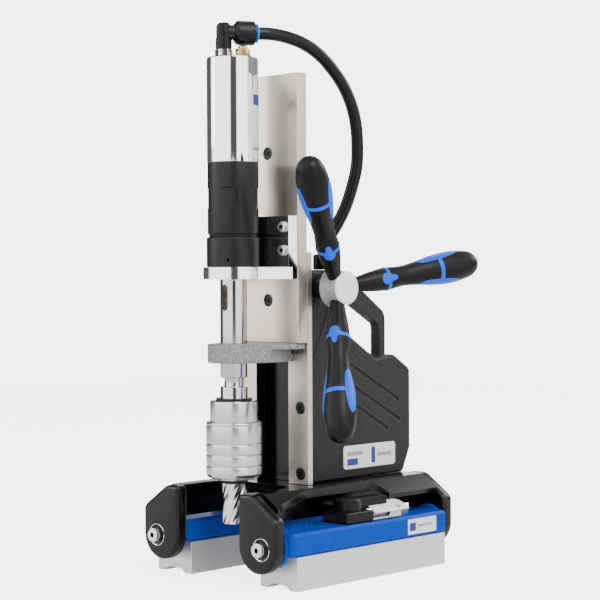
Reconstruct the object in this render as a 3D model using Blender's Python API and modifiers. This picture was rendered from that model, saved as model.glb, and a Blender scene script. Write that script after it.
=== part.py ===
"""Pneumatic magnetic drill press: a drill column on a bridge between two swivelling switchable magnets.

Machine frame, in metres: +X to the feed wheel's side, -Y to the drill spindle's side, +Z up. The magnets
stand on Z = 0, X = 0 is the machine's middle plane and Y = 0 is the front end of the pole shoes. An empty
carries this frame, and shifts it so that the world origin is under the middle of the object.
"""

import math

import bmesh
import bpy
from mathutils import Matrix, Vector

# Where the machine frame's zero lies in the world.
FRAME_SHIFT = (-0.0185, -0.1245, 0.0)
GAP = 0.0003

# Bridge between the magnets.
MAGNET_SPACING = 0.170
SWIVEL_X = MAGNET_SPACING / 2
SWIVEL_Z = 0.0465
ROOF_TOP = 0.105
ROOF_THICKNESS = 0.007
ROOF_HALF = 0.075
WING_HALF = 0.097
WING_EDGE_TOP = 0.0901
WEB_OUTER = 0.0625
WEB_INNER = 0.0570
WEB_BOTTOM = 0.069
EAR_X = SWIVEL_X - 0.0065
EAR_Z = SWIVEL_Z + 0.0015
EAR_RADIUS = 0.0295
EAR_CORNER = 0.0695
EAR_THICKNESS = 0.016
EAR_SHOULDER = 0.079
EAR_FRONT = -0.028
EAR_REAR = 0.277
PIVOT_RECESS_RADIUS = 0.0128
PIVOT_RECESS_DEPTH = 0.003
PIVOT_SHANK_RADIUS = 0.005
PIVOT_SHANK_LENGTH = 0.023
PIVOT_HEAD = (0.008, 0.010)

# Magnets.
POLE_WIDTH = 0.0574
POLE_LENGTH = 0.255
POLE_HEIGHT = 0.0377
POLE_LEG = 0.0115
GROOVE_HEIGHT = 0.005
GROOVE_SLOPE = 0.007
HOUSING_WIDTH = 0.060
HOUSING_TOP = 0.064
HOUSING_FRONT = -0.009
HOUSING_REAR = 0.258
LUG_RADIUS = 0.0225
LUG_ROOT = 0.0025
SWITCH_X = 0.0925
SWITCH_Y = 0.105
SWITCH_BASE_HALF = 0.0195
SWITCH_BASE_TOP = 0.077
SWITCH_TOP = 0.0905
ROTOR_POCKET_RADIUS = 0.0185

# Drill column.
GUIDE_HALF = 0.057
GUIDE_FRONT = 0.0773
GUIDE_FLANGE_BACK = 0.085
GUIDE_BACK = 0.100
GUIDE_CORE_HALF = 0.042
GUIDE_TOP = 0.372
CHANNEL_FRONT_HALF = 0.026
CHANNEL_BACK_HALF = 0.030
CHANNEL_BACK = 0.0945
GUIDE_SCREW_X = 0.0445
GUIDE_SCREW_ROWS = (0.117, 0.193)

# Slide on the column, at the height where it rests.
SLIDE_BOTTOM = 0.2683
SLIDE_TOP = 0.576
SLIDE_FRONT = 0.062
SLIDE_BACK = 0.077
SLIDE_FLANK = 0.039
SLIDE_BORE_X = 0.007
SLIDE_BORE_RADIUS = 0.0072
TONGUE_BACK = 0.086
RACK_BOTTOM = 0.272
RACK_TOP = 0.450

# Feed wheel: a pinion on a cross shaft.
PINION_MODULE = 0.0015
PINION_TEETH = 16
PINION_WIDTH = 0.014
PINION_RADIUS = PINION_MODULE * PINION_TEETH / 2
WHEEL_Y = 0.1026
WHEEL_Z = 0.331
SHAFT_RADIUS = 0.007
HUB_START = 0.073
HUB_FACE = 0.093
CAP_FACE = 0.0965
GRIP_ROOT_X = 0.080
GRIP_DISH = math.radians(19)
GRIP_FIRST_ANGLE = math.radians(-39.4)
GRIP_START = 0.018
GRIP_LENGTH = 0.172

# Black casting behind the column.
CASTING_HALF = 0.048
CASTING_FRONT = GUIDE_FLANGE_BACK + GAP
CASTING_WALL = 0.006
RIDGE_HALF = 0.020
RIDGE_TOP = 0.352
HANDLE_HALF = 0.0075
GROOVE_WIDTH = 0.0045
# Three slanting grooves in the casting's sides, from their lower to their upper ends, in Y-Z.
SIDE_GROOVES = (
    ((0.2485, 0.1941), (0.150, 0.2455)),
    ((0.2499, 0.1698), (0.150, 0.2225)),
    ((0.2283, 0.1600), (0.150, 0.2015)),
)

# Drill line, from the air motor down to the cutter.
SPINDLE_Y = 0.0152
MOTOR_RADIUS = 0.0294
MOTOR_BOTTOM = 0.4739
MOTOR_TOP = 0.594
GEARBOX_RADIUS = 0.029
GEARBOX_BOTTOM = 0.3895
COLLAR_RADIUS = 0.0303
BEARING_RADIUS = 0.0235
MOTOR_BORE_RADIUS = 0.0235
MOTOR_BORE_OFFSET = 0.003
ROTOR_RADIUS = 0.017
ROTOR_SLOTS = 5
ROTOR_SLOT_DEPTH = 0.007
ROTOR_LENGTH = 0.090
ROTOR_Z = 0.532
PLATE_TOP = 0.355
PLATE_BOTTOM = 0.3415
PLATE_FRONT_RADIUS = 0.0345
PLATE_HALF = 0.0562
BRACKET_TOP = 0.413
BRACKET_FRONT = 0.0475
BRACKET_SCREW_X = 0.0475
BRACKET_SCREW_ROWS = (0.374, 0.4005)
STEADY_TOP = 0.268
STEADY_BOTTOM = 0.2464
STEADY_RADIUS = 0.030
STEADY_HALF = 0.055
STEADY_FOOT_HALF = 0.0345
STEADY_FLANGE = 0.2615
SPINDLE_RADIUS = 0.0153
SPINDLE_END = 0.2294
SLOT_WIDTH = 0.0082
SLOT_LOW = 0.3055
SLOT_HIGH = 0.3355
SLOT_TURN = math.radians(5)
CHUCK_TOP = 0.2035
SLEEVE_TOP = 0.1795
SLEEVE_BOTTOM = 0.1155
SLEEVE_RADIUS = 0.0321
SPRING_RADIUS = 0.0240
SPRING_WIRE = 0.0011
CUTTER_RADIUS = 0.0135
CUTTER_TOP = 0.109
CUTTER_BOTTOM = 0.0635

# Planetary reduction inside the gearbox.
GEAR_MODULE = 0.00095
SUN_TEETH = 12
PLANET_TEETH = 18
RING_TEETH = SUN_TEETH + 2 * PLANET_TEETH
PLANET_ORBIT = GEAR_MODULE * (SUN_TEETH + PLANET_TEETH) / 2
GEARS_BOTTOM = 0.3985
GEARS_TOP = 0.4095

# Air line.
HOSE_RADIUS = 0.0073
HOSE_SPACING = 0.0135
ELBOW = (-0.007, 0.0085)
ELBOW_TURN = math.radians(60)
BARREL_Z = 0.622
BARREL_RADIUS = 0.014
HOSE_ROUTE = (
    (0.0085, 0.0354, 0.6220),
    (0.0145, 0.0458, 0.6222),
    (0.0205, 0.0590, 0.6221),
    (0.0255, 0.0780, 0.6200),
    (0.0300, 0.0990, 0.6148),
    (0.0340, 0.1200, 0.6050),
    (0.0370, 0.1390, 0.5905),
    (0.0395, 0.1575, 0.5710),
    (0.0405, 0.1715, 0.5490),
    (0.0405, 0.1800, 0.5250),
    (0.0390, 0.1842, 0.5000),
    (0.0360, 0.1860, 0.4750),
    (0.0310, 0.1830, 0.4500),
    (0.0245, 0.1775, 0.4250),
    (0.0175, 0.1685, 0.4030),
    (0.0120, 0.1592, 0.3870),
    (0.0100, 0.1552, 0.3740),
    (0.0100, 0.1550, 0.3610),
)
PORT_AT = (0.010, 0.155)
VALVE_Y = 0.200
VALVE_Z = 0.180
VALVE_ARM_HALF = 0.006
VALVE_ARM_REACH = 0.056

TURN_TO_X = (0.0, math.pi / 2, 0.0)
TURN_TO_LEFT = (0.0, -math.pi / 2, 0.0)
TURN_TO_FRONT = (math.pi / 2, 0.0, 0.0)
TURN_TO_REAR = (-math.pi / 2, 0.0, 0.0)

SIDES = (("left", -1), ("right", 1))

for old in list(bpy.data.objects):
    bpy.data.objects.remove(old, do_unlink=True)

PARTS = bpy.data.collections.new("magnetic_drill_press")
CUTTERS = bpy.data.collections.new("cutters")
bpy.context.scene.collection.children.link(PARTS)
bpy.context.scene.collection.children.link(CUTTERS)


# ---------------------------------------------------------------- materials


def paint(name, colour, roughness, metallic=0.0):
    material = bpy.data.materials.new(name)
    material.use_nodes = True
    shader = material.node_tree.nodes["Principled BSDF"]
    shader.inputs["Base Color"].default_value = (*colour, 1.0)
    shader.inputs["Roughness"].default_value = roughness
    shader.inputs["Metallic"].default_value = metallic
    return material


BLACK_COAT = paint("black_coat", (0.012, 0.012, 0.013), 0.22)
BLUE_COAT = paint("blue_coat", (0.006, 0.12, 0.62), 0.25)
SHOE_STEEL = paint("shoe_steel", (0.55, 0.56, 0.57), 0.42, 1.0)
BRIGHT_STEEL = paint("bright_steel", (0.75, 0.75, 0.76), 0.18, 1.0)
DARK_STEEL = paint("dark_steel", (0.06, 0.06, 0.065), 0.35, 1.0)
SATIN_ALUMINIUM = paint("satin_aluminium", (0.72, 0.70, 0.66), 0.35, 1.0)
BRIGHT_ALUMINIUM = paint("bright_aluminium", (0.82, 0.82, 0.83), 0.16, 1.0)
GREY_CASTING = paint("grey_casting", (0.33, 0.35, 0.35), 0.75)
BLACK_CASTING = paint("black_casting", (0.035, 0.035, 0.037), 0.62)
CHUCK_STEEL = paint("chuck_steel", (0.45, 0.46, 0.47), 0.32, 1.0)
BLACK_PLASTIC = paint("black_plastic", (0.018, 0.018, 0.02), 0.4)
SOFT_GRIP = paint("soft_grip", (0.02, 0.02, 0.022), 0.55)
GREY_PLASTIC = paint("grey_plastic", (0.5, 0.51, 0.53), 0.4)
WHITE_PLASTIC = paint("white_plastic", (0.85, 0.85, 0.85), 0.35)
BRASS = paint("brass", (0.62, 0.42, 0.16), 0.3, 1.0)
BRONZE = paint("bronze", (0.45, 0.28, 0.12), 0.4, 1.0)
MAGNET_ALLOY = paint("magnet_alloy", (0.3, 0.3, 0.31), 0.45, 1.0)
HOSE_RUBBER = paint("hose_rubber", (0.012, 0.012, 0.013), 0.25)


# ---------------------------------------------------------------- placing


def pivot(name, at, parent=None):
    """An empty on a joint's axis. It keeps its place in the machine frame for the pieces under it."""
    empty = bpy.data.objects.new(name, None)
    empty.empty_display_size = 0.02
    PARTS.objects.link(empty)
    empty.parent = parent
    empty.location = Vector(at) - Vector(parent["at"]) if parent else Vector(at)
    empty["at"] = at if parent else (0.0, 0.0, 0.0)
    return empty


def place(name, mesh, material, parent, at, turn=(0.0, 0.0, 0.0)):
    mesh.name = name
    if material:
        mesh.materials.append(material)
    obj = bpy.data.objects.new(name, mesh)
    PARTS.objects.link(obj)
    obj.parent = parent
    obj.location = Vector(at) - Vector(parent["at"])
    obj.rotation_euler = turn
    return obj


def helper(name, mesh, parent, at, turn=(0.0, 0.0, 0.0)):
    """A cutter, or a piece that a union takes in. It isn't a part of its own."""
    obj = place(name, mesh, None, parent, at, turn)
    PARTS.objects.unlink(obj)
    CUTTERS.objects.link(obj)
    obj.hide_render = True
    obj.display_type = "WIRE"
    return obj


def combine(target, other, operation):
    modifier = target.modifiers.new(other.name, "BOOLEAN")
    modifier.operation = operation
    modifier.object = other
    modifier.solver = "EXACT"


def cut(target, cutter):
    combine(target, cutter, "DIFFERENCE")


def join(target, other):
    combine(target, other, "UNION")


def round_edges(obj, width, segments=2, angle=35):
    modifier = obj.modifiers.new("rounded_edges", "BEVEL")
    modifier.width = width
    modifier.segments = segments
    modifier.limit_method = "ANGLE"
    modifier.angle_limit = math.radians(angle)
    modifier.use_clamp_overlap = True
    obj.modifiers.new("flat_faces", "TRIANGULATE")


def mirror_half(obj):
    """Completes a symmetric piece from its right half, whose solid runs a little past the middle plane."""
    modifier = obj.modifiers.new("left_half", "MIRROR")
    modifier.mirror_object = STAND
    modifier.use_bisect_axis[0] = True
    modifier.use_clip = True
    modifier.merge_threshold = 0.00005


# ---------------------------------------------------------------- shapes


def smooth(mesh, angle=35):
    mesh.shade_smooth()
    mesh.set_sharp_from_angle(angle=math.radians(angle))
    return mesh


def box(low, high):
    """(mesh, centre) of a box between two corners."""
    size = [b - a for a, b in zip(low, high)]
    bm = bmesh.new()
    bmesh.ops.create_cube(bm, size=1.0)
    bmesh.ops.scale(bm, vec=size, verts=bm.verts)
    mesh = bpy.data.meshes.new("box")
    bm.to_mesh(mesh)
    bm.free()
    return mesh, [(a + b) / 2 for a, b in zip(low, high)]


def rod(radius, length, sides=24, top_radius=None):
    """A cylinder or cone on its local Z, from 0 to its length."""
    bm = bmesh.new()
    top = radius if top_radius is None else top_radius
    bmesh.ops.create_cone(bm, cap_ends=True, segments=sides, radius1=radius, radius2=top, depth=length)
    bmesh.ops.translate(bm, vec=(0, 0, length / 2), verts=bm.verts)
    mesh = bpy.data.meshes.new("rod")
    bm.to_mesh(mesh)
    bm.free()
    return smooth(mesh)


def profile_mesh(points, closed):
    """A turned shape's profile in the local XZ plane, for a Screw modifier."""
    edges = [(i, i + 1) for i in range(len(points) - 1)]
    if closed:
        edges.append((len(points) - 1, 0))
    mesh = bpy.data.meshes.new("profile")
    mesh.from_pydata([(radius, 0.0, height) for radius, height in points], edges, [])
    return mesh


def spin(obj, sides):
    modifier = obj.modifiers.new("turned", "SCREW")
    modifier.steps = sides
    modifier.render_steps = sides
    modifier.use_merge_vertices = True
    modifier.merge_threshold = 0.00001
    modifier.use_smooth_shade = True
    return obj


def turned(name, points, material, parent, at, sides=32, turn=(0.0, 0.0, 0.0), closed=False):
    """A solid turned from (radius, height) points down its outer side. A closed profile is a ring."""
    return spin(place(name, profile_mesh(points, closed), material, parent, at, turn), sides)


def turned_helper(name, points, parent, at, sides=32, turn=(0.0, 0.0, 0.0)):
    return spin(helper(name, profile_mesh(points, False), parent, at, turn), sides)


def extruded(outline, height, twist=0.0, layers=1):
    """A flat outline raised from the local XY plane in layers. Each layer can turn a little as it rises."""
    bm = bmesh.new()
    faces = [bm.faces.new([bm.verts.new((x, y, 0.0)) for x, y in outline])]
    step = Matrix.Rotation(twist / layers, 3, "Z")
    for layer in range(layers):
        made = bmesh.ops.extrude_face_region(bm, geom=faces)["geom"]
        if layer > 0:
            bmesh.ops.delete(bm, geom=faces, context="FACES_ONLY")
        points = [item for item in made if isinstance(item, bmesh.types.BMVert)]
        faces = [item for item in made if isinstance(item, bmesh.types.BMFace)]
        bmesh.ops.rotate(bm, verts=points, cent=(0, 0, 0), matrix=step)
        bmesh.ops.translate(bm, verts=points, vec=(0, 0, height / layers))
    bmesh.ops.recalc_face_normals(bm, faces=bm.faces)
    mesh = bpy.data.meshes.new("extruded")
    bm.to_mesh(mesh)
    bm.free()
    return mesh


def plate(outline, thickness):
    """A flat outline in the local XY plane, made solid on both sides of it."""
    mesh = extruded(outline, thickness)
    mesh.transform(Matrix.Translation((0.0, 0.0, -thickness / 2)))
    return mesh


def tube(curve, points, radius, roundness):
    """A round bar that follows points, as a mesh with its end caps welded on."""
    curve.dimensions = "3D"
    curve.bevel_depth = radius
    curve.bevel_resolution = roundness
    curve.use_fill_caps = True
    spline = curve.splines.new("POLY")
    spline.points.add(len(points) - 1)
    for knot, point in zip(spline.points, points):
        knot.co = (*point, 1.0)
    carrier = bpy.data.objects.new("tube", curve)
    CUTTERS.objects.link(carrier)
    bpy.context.view_layer.update()
    graph = bpy.context.evaluated_depsgraph_get()
    mesh = bpy.data.meshes.new_from_object(carrier.evaluated_get(graph))
    bpy.data.objects.remove(carrier, do_unlink=True)
    bm = bmesh.new()
    bm.from_mesh(mesh)
    bmesh.ops.remove_doubles(bm, verts=bm.verts, dist=0.000001)
    bmesh.ops.recalc_face_normals(bm, faces=bm.faces)
    bm.to_mesh(mesh)
    bm.free()
    mesh.materials.clear()
    return smooth(mesh, 60)


def arc(centre, radius, start, end, steps):
    """Points on a circle from one angle to another, in degrees."""
    angles = [math.radians(start + (end - start) * i / steps) for i in range(steps + 1)]
    return [(centre[0] + radius * math.cos(a), centre[1] + radius * math.sin(a)) for a in angles]


def gear_outline(teeth, module, internal=False, phase=0.0):
    """Straight-flanked teeth with some backlash. An internal gear's outline is that of the hole."""
    pitch_radius = module * teeth / 2
    inner = pitch_radius - (0.9 if internal else 1.25) * module
    outer = pitch_radius + (1.25 if internal else 0.9) * module
    root_share, tip_share = (0.36, 0.2) if internal else (0.30, 0.13)
    points = []
    for tooth in range(teeth):
        middle = phase + 2 * math.pi * tooth / teeth
        corners = ((inner, -root_share), (outer, -tip_share), (outer, tip_share), (inner, root_share))
        for radius, share in corners:
            angle = middle + share * 2 * math.pi / teeth
            points.append((radius * math.cos(angle), radius * math.sin(angle)))
    return points


def socket_screw(name, head, shank, parent, at, turn, material, sides=16):
    """A socket-head screw from (radius, height) and (radius, length). The seat is at the origin."""
    head_radius, head_height = head
    shank_radius, shank_length = shank
    rim = 0.0006
    socket = 0.5 * head_radius
    socket_floor = head_height * 0.45
    points = [
        (0.0, socket_floor),
        (socket, socket_floor),
        (socket, head_height),
        (head_radius - rim, head_height),
        (head_radius, head_height - rim),
        (head_radius, 0.0),
        (shank_radius, 0.0),
        (shank_radius, -shank_length),
        (0.0, -shank_length),
    ]
    return turned(name, points, material, parent, at, sides, turn)


def smooth_route(route, spacing):
    """Points a given distance apart on a Catmull-Rom curve through the route's own points."""
    ends = [2 * Vector(route[0]) - Vector(route[1])], [2 * Vector(route[-1]) - Vector(route[-2])]
    knots = ends[0] + [Vector(p) for p in route] + ends[1]
    fine = []
    steps = 24
    for a, b, c, d in zip(knots, knots[1:], knots[2:], knots[3:]):
        for step in range(steps):
            t = step / steps
            bend = (2 * a - 5 * b + 4 * c - d) * t * t + (3 * b - a - 3 * c + d) * t**3
            fine.append(0.5 * (2 * b + (c - a) * t + bend))
    fine.append(knots[-2])
    total = sum((q - p).length for p, q in zip(fine, fine[1:]))
    count = round(total / spacing)
    points = [fine[0]]
    walked = 0.0
    for p, q in zip(fine, fine[1:]):
        step = (q - p).length
        while len(points) < count and walked + step >= len(points) * total / count:
            share = (len(points) * total / count - walked) / step
            points.append(p.lerp(q, share))
        walked += step
    return points + [fine[-1]]


# ---------------------------------------------------------------- bodies

MACHINE = pivot("machine_frame", FRAME_SHIFT)
STAND = pivot("stand_body", (0.0, 0.0, 0.0), MACHINE)
SLIDE = pivot("feed_slide_axis", (0.0, SLIDE_BACK, WHEEL_Z), STAND)
WHEEL = pivot("feed_wheel_axis", (0.0, WHEEL_Y, WHEEL_Z), STAND)
SPINDLE = pivot("spindle_axis", (0.0, SPINDLE_Y, PLATE_TOP), SLIDE)
MOTOR_ROTOR = pivot("motor_rotor_axis", (0.0, SPINDLE_Y, MOTOR_BOTTOM), SLIDE)
SLEEVE = pivot("release_sleeve_axis", (0.0, SPINDLE_Y, SLEEVE_BOTTOM), SPINDLE)
PILOT = pivot("pilot_pin_axis", (0.0, SPINDLE_Y, CUTTER_BOTTOM), SPINDLE)


def planet_centre(index):
    angle = 2 * math.pi * index / 3
    return PLANET_ORBIT * math.cos(angle), SPINDLE_Y + PLANET_ORBIT * math.sin(angle)


# ---------------------------------------------------------------- bridge


def ear_outline():
    """An ear's outline: straight sides, a sloping shoulder and a round foot just inward of the swivel axis."""
    outer = EAR_X + EAR_RADIUS
    foot = arc((EAR_X, EAR_Z), EAR_RADIUS, 0, -180, 12)
    top = ROOF_TOP + GAP
    return [(EAR_X - EAR_RADIUS, top), (EAR_CORNER, top), (outer, EAR_SHOULDER)] + foot


def build_bridge():
    """One bent and welded frame: roof, inner webs, sloping wings and four ears."""
    under = ROOF_TOP - ROOF_THICKNESS
    past_middle = -0.004
    section = [
        (past_middle, ROOF_TOP),
        (ROOF_HALF, ROOF_TOP),
        (WING_HALF, WING_EDGE_TOP),
        (WING_HALF - 0.002, WING_EDGE_TOP - 0.006),
        (ROOF_HALF - 0.002, under - 0.0005),
        (WEB_OUTER, under - 0.0005),
        (WEB_OUTER, WEB_BOTTOM),
        (WEB_INNER, WEB_BOTTOM),
        (WEB_INNER, under),
        (past_middle, under),
    ]
    overlap = 0.0005
    start = EAR_FRONT + EAR_THICKNESS - overlap
    end = EAR_REAR - EAR_THICKNESS + overlap
    at = (0, (start + end) / 2, 0)
    bridge = place("bridge_frame", plate(section, end - start), BLACK_COAT, STAND, at, TURN_TO_FRONT)
    nose = [(-0.02, -0.040), (WEB_INNER, -0.040), (WEB_INNER, 0.030)]
    nose += arc((WEB_INNER - 0.028, 0.030), 0.028, 0, 90, 6) + [(-0.02, 0.058)]
    cut(bridge, helper("chuck_opening", plate(nose, 0.050), STAND, (0, 0, ROOF_TOP)))
    for name, outside in (("front_ear", EAR_FRONT), ("rear_ear", EAR_REAR - EAR_THICKNESS)):
        middle = outside + EAR_THICKNESS / 2
        ear = helper(name, plate(ear_outline(), EAR_THICKNESS), STAND, (0, middle, 0), TURN_TO_FRONT)
        round_edges(ear, 0.002, 1, 60)
        join(bridge, ear)
    wing_cut = [
        (0.130, -0.0145),
        (WING_HALF - 0.003, -0.0115),
        (0.0775, 0.050),
        (0.0775, 0.166),
        (WING_HALF - 0.003, 0.174),
        (0.130, 0.176),
    ]
    cut(bridge, helper("wing_opening", plate(wing_cut, 0.060), STAND, (0, 0, 0.090)))
    for name, face, into in (("front", EAR_FRONT, TURN_TO_REAR), ("rear", EAR_REAR, TURN_TO_FRONT)):
        outward = -1 if name == "front" else 1
        depth = PIVOT_RECESS_DEPTH + 0.005
        recess_at = (SWIVEL_X, face + outward * 0.005, SWIVEL_Z)
        cut(bridge, helper(f"{name}_recess", rod(PIVOT_RECESS_RADIUS, depth, 20), STAND, recess_at, into))
        bore = rod(PIVOT_SHANK_RADIUS + GAP, EAR_THICKNESS + 0.01, 12)
        cut(bridge, helper(f"{name}_pivot_bore", bore, STAND, recess_at, into))
    mirror_half(bridge)


def build_pivot_screws():
    ends = (("front", EAR_FRONT, -1, TURN_TO_FRONT), ("rear", EAR_REAR, 1, TURN_TO_REAR))
    for side, sign in SIDES:
        for end, face, outward, turn in ends:
            seat = face - outward * (PIVOT_RECESS_DEPTH - GAP)
            at = (sign * SWIVEL_X, seat, SWIVEL_Z)
            shank = (PIVOT_SHANK_RADIUS, PIVOT_SHANK_LENGTH)
            name = f"{side}_{end}_pivot_screw"
            socket_screw(name, PIVOT_HEAD, shank, STAND, at, turn, BRIGHT_STEEL, 12)


# ---------------------------------------------------------------- magnets


def pole_outline():
    half = POLE_WIDTH / 2
    foot = half - POLE_LEG
    arch = foot - GROOVE_SLOPE
    return [
        (-half, 0.0),
        (-foot, 0.0),
        (-arch, GROOVE_HEIGHT),
        (arch, GROOVE_HEIGHT),
        (foot, 0.0),
        (half, 0.0),
        (half, POLE_HEIGHT),
        (-half, POLE_HEIGHT),
    ]


def build_magnet(side, sign):
    """A swivelling magnet with its housing and pole shoe, and its switch on an upright axis."""
    axis_x = sign * SWIVEL_X
    swivel = pivot(f"{side}_magnet_axis", (axis_x, POLE_LENGTH / 2, SWIVEL_Z), STAND)
    shoe = plate(pole_outline(), POLE_LENGTH)
    place(f"{side}_pole_shoe", shoe, SHOE_STEEL, swivel, (axis_x, POLE_LENGTH / 2, 0), TURN_TO_FRONT)

    low = (axis_x - HOUSING_WIDTH / 2, HOUSING_FRONT, POLE_HEIGHT + GAP)
    high = (axis_x + HOUSING_WIDTH / 2, HOUSING_REAR, HOUSING_TOP)
    mesh, centre = box(low, high)
    housing = place(f"{side}_magnet_housing", mesh, BLUE_COAT, swivel, centre)
    round_edges(housing, 0.0035, 1)
    lug_reach = EAR_FRONT + EAR_THICKNESS + GAP
    for end, face, reach, turn in (
        ("front", HOUSING_FRONT, HOUSING_FRONT - lug_reach, TURN_TO_FRONT),
        ("rear", HOUSING_REAR, EAR_REAR - EAR_THICKNESS - GAP - HOUSING_REAR, TURN_TO_REAR),
    ):
        into = LUG_ROOT if end == "front" else -LUG_ROOT
        at = (axis_x, face + into, SWIVEL_Z)
        lug = rod(LUG_RADIUS, reach + LUG_ROOT, 24)
        join(housing, helper(f"{side}_{end}_lug", lug, swivel, at, turn))
    for end, start, turn in (("front", -0.020, TURN_TO_REAR), ("rear", 0.270, TURN_TO_FRONT)):
        bore = rod(PIVOT_SHANK_RADIUS + GAP, 0.027, 12)
        cut(housing, helper(f"{side}_{end}_lug_bore", bore, swivel, (axis_x, start, SWIVEL_Z), turn))

    at = (sign * SWITCH_X, SWITCH_Y, 0.042)
    cut(housing, helper(f"{side}_rotor_pocket", rod(ROTOR_POCKET_RADIUS + GAP, 0.040, 24), swivel, at))

    inner = sign * (SWITCH_X - SWITCH_BASE_HALF)
    outer = sign * (SWITCH_X + SWITCH_BASE_HALF)
    low = (min(inner, outer), SWITCH_Y - 0.022, HOUSING_TOP + GAP)
    high = (max(inner, outer), SWITCH_Y + 0.024, SWITCH_BASE_TOP)
    mesh, centre = box(low, high)
    base = place(f"{side}_switch_base", mesh, BLACK_PLASTIC, swivel, centre)
    round_edges(base, 0.0015, 1)
    at = (sign * SWITCH_X, SWITCH_Y, 0.060)
    cut(base, helper(f"{side}_switch_bore", rod(0.0065, 0.030, 16), swivel, at))

    switch = pivot(f"{side}_switch_axis", (sign * SWITCH_X, SWITCH_Y, SWITCH_BASE_TOP), swivel)
    knob = [
        (0.0, SWITCH_TOP),
        (0.0145, SWITCH_TOP),
        (0.0160, SWITCH_TOP - 0.0015),
        (0.0160, SWITCH_BASE_TOP + GAP),
        (0.0060, SWITCH_BASE_TOP + GAP),
        (0.0060, 0.0625),
        (0.0, 0.0625),
    ]
    lever = turned(f"{side}_switch_lever", knob, BLACK_PLASTIC, switch, (sign * SWITCH_X, SWITCH_Y, 0), 20)
    low = (sign * SWITCH_X - 0.010, SWITCH_Y, SWITCH_BASE_TOP + 0.003)
    high = (sign * SWITCH_X + 0.010, SWITCH_Y + 0.058, SWITCH_TOP - 0.0005)
    mesh, centre = box(low, high)
    arm = helper(f"{side}_lever_arm", mesh, switch, centre)
    round_edges(arm, 0.002, 2)
    join(lever, arm)
    rotor = rod(ROTOR_POCKET_RADIUS - GAP, 0.0195, 24)
    place(f"{side}_magnet_rotor", rotor, MAGNET_ALLOY, switch, (sign * SWITCH_X, SWITCH_Y, 0.0425))


# ---------------------------------------------------------------- column


def build_guide():
    """The fixed guide: two rails with a channel between them, and a window for the pinion."""
    section = [
        (CHANNEL_FRONT_HALF, GUIDE_FRONT),
        (GUIDE_HALF, GUIDE_FRONT),
        (GUIDE_HALF, GUIDE_FLANGE_BACK),
        (GUIDE_CORE_HALF, GUIDE_FLANGE_BACK),
        (GUIDE_CORE_HALF, GUIDE_BACK),
        (-0.004, GUIDE_BACK),
        (-0.004, CHANNEL_BACK),
        (CHANNEL_BACK_HALF, CHANNEL_BACK),
        (CHANNEL_FRONT_HALF, GUIDE_FRONT + 0.001),
    ]
    bottom = ROOF_TOP + GAP
    mesh = plate(section, GUIDE_TOP - bottom)
    guide = place("column_guide", mesh, SATIN_ALUMINIUM, STAND, (0, 0, (GUIDE_TOP + bottom) / 2))
    mesh, centre = box((-0.01, 0.088, WHEEL_Z - 0.018), (0.012, 0.11, WHEEL_Z + 0.018))
    cut(guide, helper("pinion_window", mesh, STAND, centre))
    groove_at = (-0.01, WHEEL_Y, WHEEL_Z)
    cut(guide, helper("shaft_groove", rod(0.0090, 0.070, 16), STAND, groove_at, TURN_TO_X))
    for row, height in enumerate(GUIDE_SCREW_ROWS):
        at = (GUIDE_SCREW_X, GUIDE_FRONT - 0.004, height)
        seat = rod(0.0076, 0.0085, 16)
        cut(guide, helper(f"guide_screw_seat_{row + 1}", seat, STAND, at, TURN_TO_REAR))
    mirror_half(guide)
    for row, height in enumerate(GUIDE_SCREW_ROWS):
        for side, sign in SIDES:
            at = (sign * GUIDE_SCREW_X, GUIDE_FRONT + 0.0041, height)
            name = f"{side}_guide_screw_{row + 1}"
            low_head = 0.0040
            points = [
                (0.0, 0.0015),
                (0.0032, 0.0015),
                (0.0032, low_head),
                (0.0060, low_head),
                (0.0065, low_head - 0.0006),
                (0.0065, 0.0),
                (0.0, 0.0),
            ]
            turned(name, points, DARK_STEEL, STAND, at, 12, TURN_TO_FRONT)


def casting_outline():
    """The casting's side, in Y-Z: the top steps down behind the feed wheel and the rear foot slants in."""
    return [
        (CASTING_FRONT, ROOF_TOP + GAP),
        (CASTING_FRONT, 0.350),
        (0.104, 0.350),
        (0.122, 0.344),
        (0.148, 0.318),
        (0.161, 0.274),
        (0.2077, 0.245),
        (0.240, 0.2495),
        (0.2675, 0.2325),
        (0.2705, 0.2295),
        (0.2705, 0.1345),
        (0.2570, ROOF_TOP + GAP),
    ]


def handle_outline():
    """The carrying handle and the ridge that it grows from, in Y-Z. Its opening is cut afterwards."""
    return [
        (0.120, 0.320),
        (0.120, RIDGE_TOP - 0.001),
        (0.192, RIDGE_TOP - 0.001),
        (0.2344, 0.3228),
        (0.2656, 0.3017),
        (0.2690, 0.2975),
        (0.2705, 0.2930),
        (0.2705, 0.2350),
        (0.150, 0.2350),
    ]


def handle_opening():
    return [
        (0.2590, 0.2400),
        (0.2590, 0.2800),
        (0.2570, 0.2855),
        (0.2205, 0.3060),
        (0.1960, 0.3190),
        (0.1800, 0.3190),
        (0.1740, 0.3130),
        (0.1740, 0.2670),
        (0.2080, 0.2460),
        (0.2400, 0.2505),
    ]


TURN_SIDE_ON = (math.pi / 2, 0.0, math.pi / 2)


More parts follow.
